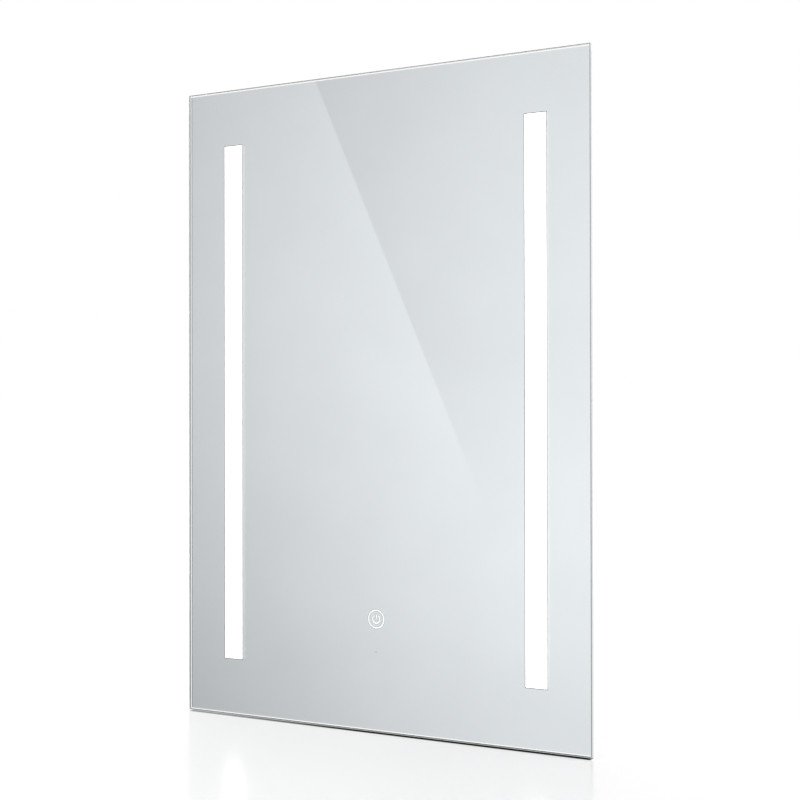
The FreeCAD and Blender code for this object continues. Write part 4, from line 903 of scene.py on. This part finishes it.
class Outline:
    """Closed (x, z) outlines that are filled between, as a coat with openings in it."""

    def __init__(self) -> None:
        """Start with no outlines."""
        self.loops: list[list[Span]] = []

    def rectangle(self, middle: Span, size: Span) -> None:
        """Add a rectangle about its middle."""
        corners = ((-0.5, -0.5), (0.5, -0.5), (0.5, 0.5), (-0.5, 0.5))
        self.loops.append([(middle[0] + i * size[0], middle[1] + j * size[1]) for i, j in corners])

    def polar(self, middle: Span, points: list[Span]) -> None:
        """Add an outline through points that are given by radius and angle about a middle."""
        self.loops.append([(middle[0] + r * math.cos(t), middle[1] + r * math.sin(t)) for r, t in points])

    def circle(self, middle: Span, radius: float, sides: int) -> None:
        """Add a circle."""
        self.polar(middle, [(radius, TURN * i / sides) for i in range(sides)])

    def arc(self, middle: Span, radii: Span, gap: float, sides: int) -> None:
        """Add a band along a circle, open by an angle at its top.

        Args:
            middle: The circle's middle.
            radii: The band's inner and outer radius.
            gap: The angle that is left open.
            sides: How many facets the band has.
        """
        start = math.pi / 2 + gap / 2
        turns = [start + (TURN - gap) * i / sides for i in range(sides + 1)]
        inner, outer = radii
        self.polar(middle, [(outer, t) for t in turns] + [(inner, t) for t in reversed(turns)])

    def coat(self, name: str, depth: Span) -> bmesh.types.BMesh:
        """The solid between two values of y that the outlines enclose.

        Args:
            name: A name for the working curve.
            depth: The y of its front and back.

        Returns:
            The mesh.
        """
        curve = bpy.data.curves.new(name, "CURVE")
        curve.dimensions = "2D"
        curve.fill_mode = "BOTH"
        curve.extrude = (depth[1] - depth[0]) / 2
        for loop in self.loops:
            spline = curve.splines.new("POLY")
            spline.points.add(len(loop) - 1)
            for point, (x, z) in zip(spline.points, loop):
                point.co = (x, z, 0.0, 1.0)
            spline.use_cyclic_u = True
        maker = bpy.data.objects.new(name, curve)
        flat = bpy.data.meshes.new_from_object(maker)
        mesh = bmesh.new()
        mesh.from_mesh(flat)
        upright = Matrix(((1, 0, 0, 0), (0, 0, -1, (depth[0] + depth[1]) / 2), (0, 1, 0, 0), (0, 0, 0, 1)))
        bmesh.ops.transform(mesh, matrix=upright, verts=mesh.verts)
        bmesh.ops.remove_doubles(mesh, verts=mesh.verts, dist=0.001 * MM)
        bpy.data.objects.remove(maker)
        bpy.data.meshes.remove(flat)
        bpy.data.curves.remove(curve)
        return mesh


@dataclass
class MirrorGlass:
    """The sheet of glass, the silver on its back and the paint over the silver."""

    window_size: Span = (24.0 * MM, 575.0 * MM)
    icon_line: float = 1.0 * MM
    ring_radius: float = 9.4 * MM
    arc_radius: float = 4.4 * MM
    arc_gap: float = math.radians(80)
    stroke_length: float = 5.0 * MM
    pinhole_radius: float = 0.6 * MM
    pinhole_drop: float = 35.0 * MM
    paint_margin: float = 0.7 * MM
    icon_margin: float = 0.35 * MM
    seat: float = 0.02 * MM
    silver_thickness: float = 0.08 * MM
    circle_sides: int = 96
    arc_sides: int = 48
    pinhole_sides: int = 24

    def openings(self, outline: Outline, spread: float, icon_spread: float) -> Span:
        """Add the windows, the touch ring and the power symbol.

        Args:
            outline: The outline to add them to.
            spread: How far each window is widened at every side.
            icon_spread: How far each line of the icon is widened at either side.

        Returns:
            The middle of the touch ring.
        """
        for side in ("left", "right"):
            x, _, z = middle_of(f"{side}_light_diffuser")
            outline.rectangle((x, z), tuple(length + 2 * spread for length in self.window_size))
        x, _, z = middle_of("icon_diffuser")
        line = self.icon_line / 2 + icon_spread
        outline.circle((x, z), self.ring_radius + line, self.circle_sides)
        outline.circle((x, z), self.ring_radius - line, self.circle_sides)
        outline.arc((x, z), (self.arc_radius - line, self.arc_radius + line), self.arc_gap, self.arc_sides)
        top = self.arc_radius + self.icon_line / 2
        outline.rectangle((x, z + top - self.stroke_length / 2),
                          (2 * line, self.stroke_length + 2 * icon_spread))
        return x, z

    def build(self) -> None:
        """Dress the glass, and stand a silver coat and a coat of paint for the silvering."""
        dress(FloatGlass("float_glass", "clear_glass"), 0.0, "mirror_glass")
        middle_z = middle_of("mirror_glass")[2]
        low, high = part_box("silvering")
        size = (high[0] - low[0], high[2] - low[2])
        front = low[1] - self.seat
        join = front + self.silver_thickness
        silver = Outline()
        silver.rectangle((0.0, middle_z), size)
        x, z = self.openings(silver, self.paint_margin, self.icon_margin)
        silver.circle((x, z - self.pinhole_drop), self.pinhole_radius, self.pinhole_sides)
        add_piece("silver_coat", silver.coat("silver_outline", (front, join)),
                  SilverCoat("silver", "mirror_silver"), "mirror", "silvering")
        paint = Outline()
        paint.rectangle((0.0, middle_z), size)
        self.openings(paint, 0.0, 0.0)
        finish = BackingPaint("backing_paint", "mirror_silver", size[0] / 2, size[1] / 2, middle_z)
        add_piece("backing_paint", paint.coat("paint_outline", (join, high[1])), finish, "mirror",
                  "silvering")


# ---- The frame behind the glass ----

@dataclass
class RailFrame:
    """The mitred rails, their corner keys and screws, and the tapes that bond them."""

    edge: float = 0.3 * MM
    fine_edge: float = 0.12 * MM

    def build(self) -> None:
        """Dress the rails with lines along their own lengths, and the pieces that join them."""
        for side, axis in {"top": Axis.X, "bottom": Axis.X, "left": Axis.Z, "right": Axis.Z}.items():
            finish = Anodised(f"anodised_along_{axis.name.lower()}", "anodised_aluminium", axis)
            dress(finish, self.edge, f"{side}_rail")
            dress(FOAM, self.fine_edge, f"{side}_frame_tape")
        dress(ZINC_SHEET, self.edge, "corner_keys")
        dress(PLATED_SCREW, self.fine_edge, "corner_screws")


@dataclass
class Hanging:
    """The keyhole plates, their screws, the wall bumpers and the grommets."""

    edge: float = 0.25 * MM
    screw_edge: float = 0.08 * MM
    grommet_edge: float = 0.2 * MM

    def build(self) -> None:
        """Dress the hanging parts."""
        dress(ZINC_SHEET, self.edge, "left_hanger_plate", "right_hanger_plate")
        dress(PLATED_SCREW, self.screw_edge, "hanger_screws")
        dress(BUMPER_RUBBER, 0.0, "wall_bumpers")
        dress(BUMPER_RUBBER, self.grommet_edge, "grommets")


@dataclass
class LightBars:
    """The two light channels with their boards, LEDs, diffusers and end caps."""

    led_pitch: float = 16.7 * MM
    edge: float = 0.2 * MM
    cap_edge: float = 0.5 * MM
    connector_edge: float = 0.3 * MM
    tape_edge: float = 0.12 * MM

    def build(self) -> None:
        """Dress both light bars."""
        opal = LitOpal("lit_opal", "opal_acrylic", self.led_pitch, middle_of("left_light_channel")[2])
        board = CircuitBoard("white_board", "white_board", (0.8, 0.8, 0.79), (0.86, 0.86, 0.85))
        channel = Anodised("anodised_along_z", "anodised_aluminium", Axis.Z)
        for side in ("left", "right"):
            dress(channel, self.edge, f"{side}_light_channel")
            dress(opal, 0.0, f"{side}_light_diffuser")
            dress(board, 0.0, f"{side}_led_board")
            dress(LED_PHOSPHOR, 0.0, f"{side}_leds")
            dress(WHITE_ABS, self.cap_edge, f"{side}_top_end_cap", f"{side}_bottom_end_cap", segments=3)
        dress(WHITE_ABS, self.connector_edge, "led_connectors")
        dress(FOAM, self.tape_edge, "channel_tapes")


@dataclass
class ServicePlate:
    """The steel plate that the electrics stand on, with the driver and its contents."""

    edge: float = 0.2 * MM
    fine_edge: float = 0.12 * MM
    base_edge: float = 0.35 * MM
    cover_edge: float = 0.15 * MM
    part_edge: float = 0.3 * MM
    sleeve_edge: float = 0.4 * MM

    def build(self) -> None:
        """Dress the plate, the driver's case and what is in it."""
        dress(ZINC_SHEET, self.edge, "service_plate")
        dress(FOAM, self.fine_edge, "service_tapes")
        case = MouldedPlastic("driver_case", "driver_plastic", (0.8, 0.8, 0.785), 0.4 * MM, 0.016 * MM)
        dress(case, self.base_edge, "driver_base", segments=3)
        dress(case, self.cover_edge, "driver_cover", merge_flats=False)
        dress(PLATED_SCREW, self.fine_edge, "driver_screws")
        dress(GREEN_BOARD, 0.0, "driver_board")
        dress(WHITE_ABS, self.part_edge, "driver_connectors")
        core = WoundCore("wound_ferrite", "ferrite", middle_of("driver_transformer")[0])
        dress(core, self.part_edge, "driver_transformer")
        dress(ShrinkSleeve("shrink_sleeve", "capacitor_sleeve"), self.sleeve_edge, "driver_capacitors")


@dataclass
class TerminalBox:
    """The mains box with its hinged lid, terminal block and cable gland."""

    edge: float = 0.3 * MM
    block_edge: float = 0.25 * MM
    gland_edge: float = 0.2 * MM
    pin_edge: float = 0.12 * MM
    terminal_edge: float = 0.1 * MM

    def build(self) -> None:
        """Dress the box and everything in it."""
        dress(TERMINAL_CASE, self.edge, "terminal_box", "terminal_lid", segments=3)
        dress(PLATED_SCREW, self.pin_edge, "lid_hinge_pin", "terminal_box_screws")
        block = ClearNylon("natural_nylon", "clear_polyamide", (0.8, 0.79, 0.72))
        dress(block, self.block_edge, "terminal_block")
        dress(BRASS_SCREW, self.terminal_edge, "terminal_screws")
        gland = MouldedPlastic("gland_nylon", "gland_nylon", (0.25, 0.26, 0.265), 0.3 * MM, 0.01 * MM, 0.36)
        dress(gland, self.gland_edge, "cable_gland", "gland_nut", "gland_locknut")


@dataclass
class TouchSensor:
    """The case behind the icon with its board, electrode, LEDs and small diffuser."""

    edge: float = 0.3 * MM
    tape_edge: float = 0.12 * MM
    ripple: float = 40 * MM
    strength: float = 1.2

    def build(self) -> None:
        """Dress the touch sensor."""
        dress(TERMINAL_CASE, self.edge, "touch_case", segments=3)
        dress(FOAM, self.tape_edge, "touch_tape")
        dress(GREEN_BOARD, 0.0, "touch_board")
        dress(BRASS_SCREW, 0.0, "touch_electrode")
        dress(LED_PHOSPHOR, 0.0, "icon_leds")
        middle_z = middle_of("icon_diffuser")[2]
        opal = LitOpal("lit_icon", "opal_acrylic", self.ripple, middle_z, self.strength)
        dress(opal, 0.0, "icon_diffuser")


@dataclass
class Leads:
    """The leads behind the glass and the clips that hold them."""

    clip_edge: float = 0.2 * MM

    def build(self) -> None:
        """Dress the leads and clips."""
        sheath = CableSheath("white_pvc", "white_sheath")
        dress(sheath, 0.0, "mains_lead", "touch_lead", "left_led_lead", "right_led_lead")
        clip = MouldedPlastic("clip_nylon", "white_plastic", (0.8, 0.8, 0.78), 0.3 * MM)
        dress(clip, self.clip_edge, "lead_clips")


# ---- The studio ----

@dataclass(frozen=True)
class ScreenTone:
    """The greys of the screen that the silver reflects, on a scale to 255, by angle and height.

    One broad glow fades to both sides. A long straight shade lies across it, dark on its upper right.
    """

    base: float = 127.7
    glow: float = 95.2
    glow_angle: float = -18.7
    glow_width: float = 30.0
    rise: float = 16.2
    crown: float = 19.8
    lean: float = -12.8
    height_rate: float = 1.2
    height_shift: float = 0.27
    shade: float = 13.1
    shade_depth: float = 6.1
    shade_end: Span = (-0.75, 0.0)
    shade_angle: float = -31.02
    shade_height: float = 0.15
    shade_slope: float = -0.15
    shade_edge: float = 0.012
    cloud: float = 7.0
    cloud_size: float = 0.2
    tint: Colour = (1.048, 1.069, 1.105)
    scale: float = 255.0
    gamma: float = 2.2

    def fill(self, tree: Tree) -> None:
        """Fill a tree with the screen's glow.

        Args:
            tree: The material's empty tree.
        """
        x, y, z = tree.axes()
        angle = x.maths("ARCTAN2", -1.0 * y) * math.degrees(1.0)
        off = (angle - self.glow_angle) * (1.0 / self.glow_width)
        glow = (-1.0 * off * off).maths("EXPONENT")
        phase = (z + self.height_shift) * self.height_rate
        rise = phase.maths("SINE")
        above = z - (self.shade_height - self.shade_slope * self.shade_angle) - self.shade_slope * angle
        fall = (above * (-1.0 / self.shade_depth)).maths("EXPONENT")
        inside = above.step(-self.shade_edge, self.shade_edge) * z.step(*self.shade_end)
        cloud = tree.noise(self.cloud_size, rough=0.5) - 0.5
        tone = (self.base + self.glow * glow + self.rise * rise + self.crown * phase.maths("COSINE")
                + self.lean * rise * glow - self.shade * fall * inside + self.cloud * cloud)
        level = (tone * (1.0 / self.scale)).maths("POWER", self.gamma)
        channels = {channel: level * share for channel, share in enumerate(self.tint)}
        tree.end(tree.emit(1.0, tree.node("ShaderNodeCombineColor", None, channels)))


@dataclass(frozen=True)
class SoftLight:
    """A square soft light that hangs at an offset from the mirror's middle and faces it."""

    name: str
    offset: Point
    side: float
    power: float

    def hang(self, middle: Vector) -> None:
        """Hang the light, unseen itself.

        Args:
            middle: The mirror's middle.
        """
        light = bpy.data.lights.new(self.name, "AREA")
        light.shape = "SQUARE"
        light.size = self.side
        light.energy = self.power
        lamp = bpy.data.objects.new(self.name, light)
        lamp.location = middle + Vector(self.offset)
        lamp.rotation_mode = "QUATERNION"
        lamp.rotation_quaternion = (-Vector(self.offset)).to_track_quat("-Z", "Y")
        lamp.visible_camera = False
        lamp.visible_transmission = False
        bpy.context.scene.collection.objects.link(lamp)


@dataclass
class Studio:
    """A pale floor, a white world, soft lights, and a grey screen for the silver to reflect."""

    floor_gap: float = 1.3 * MM
    floor_reach: float = 40.0
    floor_fade: Span = (0.9, 2.4)
    floor_grey: float = 0.92
    glow_share: float = 0.75
    glow_open: float = 1.0
    glow_near: float = 0.38
    glow_seen: float = 1.12
    glow_fade: Span = (-0.9, -0.2)
    sheen_rough: float = 0.2
    sheen_index: float = 1.45
    polish_lean: Span = (1.53, 1.2)
    polish_span: Span = (-0.55, 0.55)
    polish: Span = (0.65, 1.42)
    # Painted shadow in the floor's gap under the mirror.
    painted_shadow_grey: float = 0.03
    painted_shadow_soft: float = 1.3 * MM
    painted_shadow_depth: float = 7.4 * MM
    painted_shadow_faint: float = 0.65
    screen_radius: float = 3.4
    screen_height: float = 3.2
    screen_sweep: float = math.radians(200)
    screen_columns: int = 120
    horizon: float = 1.0
    zenith: float = 0.42
    nadir: float = 0.3
    dome_rise: Span = (0.25, 0.75)
    dome_fall: Span = (-0.25, -0.02)
    lights: tuple[SoftLight, ...] = (SoftLight("overhead_left", (-1.2, 0.9, 2.3), 1.3, 26.0),
                                     SoftLight("low_right", (2.2, 1.6, 0.5), 0.9, 8.0),
                                     SoftLight("front_fill", (-1.0, -2.2, 1.6), 1.4, 16.0))

    @staticmethod
    def add_stage(name: str, mesh: bmesh.types.BMesh) -> tuple[bpy.types.Object, Tree]:
        """Add a piece of the stage.

        Args:
            name: The piece's name, which is its material's too.
            mesh: Its mesh, which is freed.

        Returns:
            The piece and its material's empty tree.
        """
        material = bpy.data.materials.new(name)
        material.use_nodes = True
        data = bpy.data.meshes.new(name)
        mesh.to_mesh(data)
        mesh.free()
        data.materials.append(material)
        piece = bpy.data.objects.new(name, data)
        bpy.context.scene.collection.objects.link(piece)
        piece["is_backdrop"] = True
        return piece, Tree(material.node_tree)

    def painted_contact_shadow(self, x: Sock, y: Sock) -> Sock:
        """How much painted shadow darkens the floor in the narrow gap under the mirror.

        Args:
            x: The floor point's x.
            y: Its y.

        Returns:
            One in full painted shadow, and nought away from it.
        """
        (left, front, _), (right, _, _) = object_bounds()
        soft = self.painted_shadow_soft
        back = front + self.painted_shadow_depth
        across = x.step(left, left + 2 * soft) * x.step(right - 2 * soft, right, 1.0, 0.0)
        under = across * y.step(front - 2 * soft, front - soft) * y.step(back - soft, back + soft, 1.0, 0.0)
        return under * x.step(left, 0.0, self.painted_shadow_faint, 1.0)

    def add_floor(self, level: float) -> None:
        """Lay a pale, softly glossy floor that runs out into white, with a painted shadow in the gap under
        the mirror.

        Args:
            level: The floor's height.
        """
        mesh = bmesh.new()
        reach = self.floor_reach
        mesh.faces.new([mesh.verts.new((i * reach, j * reach, level))
                        for i, j in ((-1, -1), (1, -1), (1, 1), (-1, 1))])
        floor, tree = self.add_stage("stage_floor", mesh)
        floor.visible_transmission = False
        x, y, _ = tree.axes()
        unseen = tree.mix(y.step(*self.glow_fade), tree.emit(self.glow_open), tree.emit(self.glow_near))
        white = tree.mix(tree.ray(Ray.CAMERA), unseen, tree.emit(self.glow_seen))
        lit = tree.node("ShaderNodeBsdfDiffuse", None, {"Color": self.floor_grey})
        body = tree.mix(self.glow_share, lit, white)
        sheen = tree.node("ShaderNodeBsdfGlossy", None, {"Color": WHITE, "Roughness": self.sheen_rough})
        grazing = tree.node("ShaderNodeFresnel", None, {"IOR": self.sheen_index})
        polished = (self.polish_lean[0] * x + self.polish_lean[1] * y).step(*self.polish_span, *self.polish)
        glossy = tree.mix(grazing * polished, body, sheen)
        # Painted shadow: a near-black diffuse is mixed into the floor in the gap under the mirror, fainter
        # towards the left.
        dark = tree.node("ShaderNodeBsdfDiffuse", None, {"Color": self.painted_shadow_grey})
        with_painted_shadow = tree.mix(self.painted_contact_shadow(x, y), glossy, dark)
        run_out = (x * x + y * y).maths("SQRT").step(*self.floor_fade)
        tree.end(tree.mix(run_out, with_painted_shadow, white))

    def add_screen(self, middle_z: float) -> None:
        """Stand the grey screen in an arc before the mirror, seen only through the glass.

        Args:
            middle_z: The height of the screen's middle.
        """
        columns = self.screen_columns
        turns = [self.screen_sweep * (i / columns - 0.5) for i in range(columns + 1)]
        mesh = bmesh.new()
        rows = []
        for height in (middle_z - self.screen_height, middle_z + self.screen_height):
            rows.append([mesh.verts.new((self.screen_radius * math.sin(turn),
                                         -self.screen_radius * math.cos(turn), height)) for turn in turns])
        for i in range(columns):
            mesh.faces.new((rows[0][i], rows[0][i + 1], rows[1][i + 1], rows[1][i]))
        screen, tree = self.add_stage("stage_screen", mesh)
        ScreenTone().fill(tree)
        screen.visible_camera = False
        screen.visible_diffuse = False
        screen.visible_glossy = False
        screen.visible_shadow = False

    def add_world(self) -> None:
        """Surround the stage with white for the eye, and with a bright horizon for the lighting."""
        world = bpy.data.worlds.new("studio_white")
        world.use_nodes = True
        tree = Tree(world.node_tree)
        _, _, height = tree.split(tree.node("ShaderNodeTexCoord", out="Generated"))
        dome = height.step(*self.dome_rise, self.horizon, self.zenith)
        level = height.step(*self.dome_fall, self.nadir, 1.0) * dome
        seen = tree.ray(Ray.CAMERA).maths("MAXIMUM", tree.ray(Ray.TRANSMITTED))
        strength = seen + (1.0 - seen) * level
        tree.end(tree.node("ShaderNodeBackground", None, {"Color": WHITE, "Strength": strength}), "World")
        bpy.context.scene.world = world

    def build(self) -> None:
        """Set up the floor, the screen, the lights, the world and plain tones."""
        low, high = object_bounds()
        middle = (Vector(low) + Vector(high)) / 2
        self.add_floor(low[2] - self.floor_gap)
        self.add_screen(middle.z)
        for light in self.lights:
            light.hang(middle)
        self.add_world()
        bpy.context.scene.view_settings.view_transform = "Standard"


@dataclass
class PhotoCamera:
    """A camera where the photograph was taken from, held by its angles."""

    place: Point = (0.88876, -1.44957, -0.30659)
    azimuth: float = math.radians(31.175)
    rise: float = math.radians(0.4028)
    roll: float = math.radians(-0.0902)
    lens: float = 71.026
    sensor: float = 36.0
    clip: Span = (0.05, 200.0)

    def build(self) -> None:
        """Make the scene's camera."""
        data = bpy.data.cameras.new("photo_camera")
        data.lens = self.lens
        data.sensor_width = self.sensor
        data.clip_start, data.clip_end = self.clip
        camera = bpy.data.objects.new("photo_camera", data)
        forward = Vector((-math.sin(self.azimuth) * math.cos(self.rise),
                          math.cos(self.azimuth) * math.cos(self.rise), math.sin(self.rise)))
        across = forward.cross(Vector((0.0, 0.0, 1.0))).normalized()
        up = across.cross(forward)
        right = across * math.cos(self.roll) + up * math.sin(self.roll)
        top = up * math.cos(self.roll) - across * math.sin(self.roll)
        turn = Matrix((right, top, -forward)).transposed()
        camera.matrix_world = Matrix.Translation(self.place) @ turn.to_4x4()
        bpy.context.scene.collection.objects.link(camera)
        bpy.context.scene.camera = camera


def main() -> None:
    """Build the camera, the mirror's sub-assemblies and the studio."""
    logging.basicConfig(level=logging.INFO, format="%(name)s: %(message)s")
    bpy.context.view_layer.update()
    for assembly in (PhotoCamera(), MirrorGlass(), RailFrame(), Hanging(), LightBars(), ServicePlate(),
                     TerminalBox(), TouchSensor(), Leads(), Studio()):
        assembly.build()
        log.info("%s done", type(assembly).__name__)


if __name__ == "__main__":
    main()
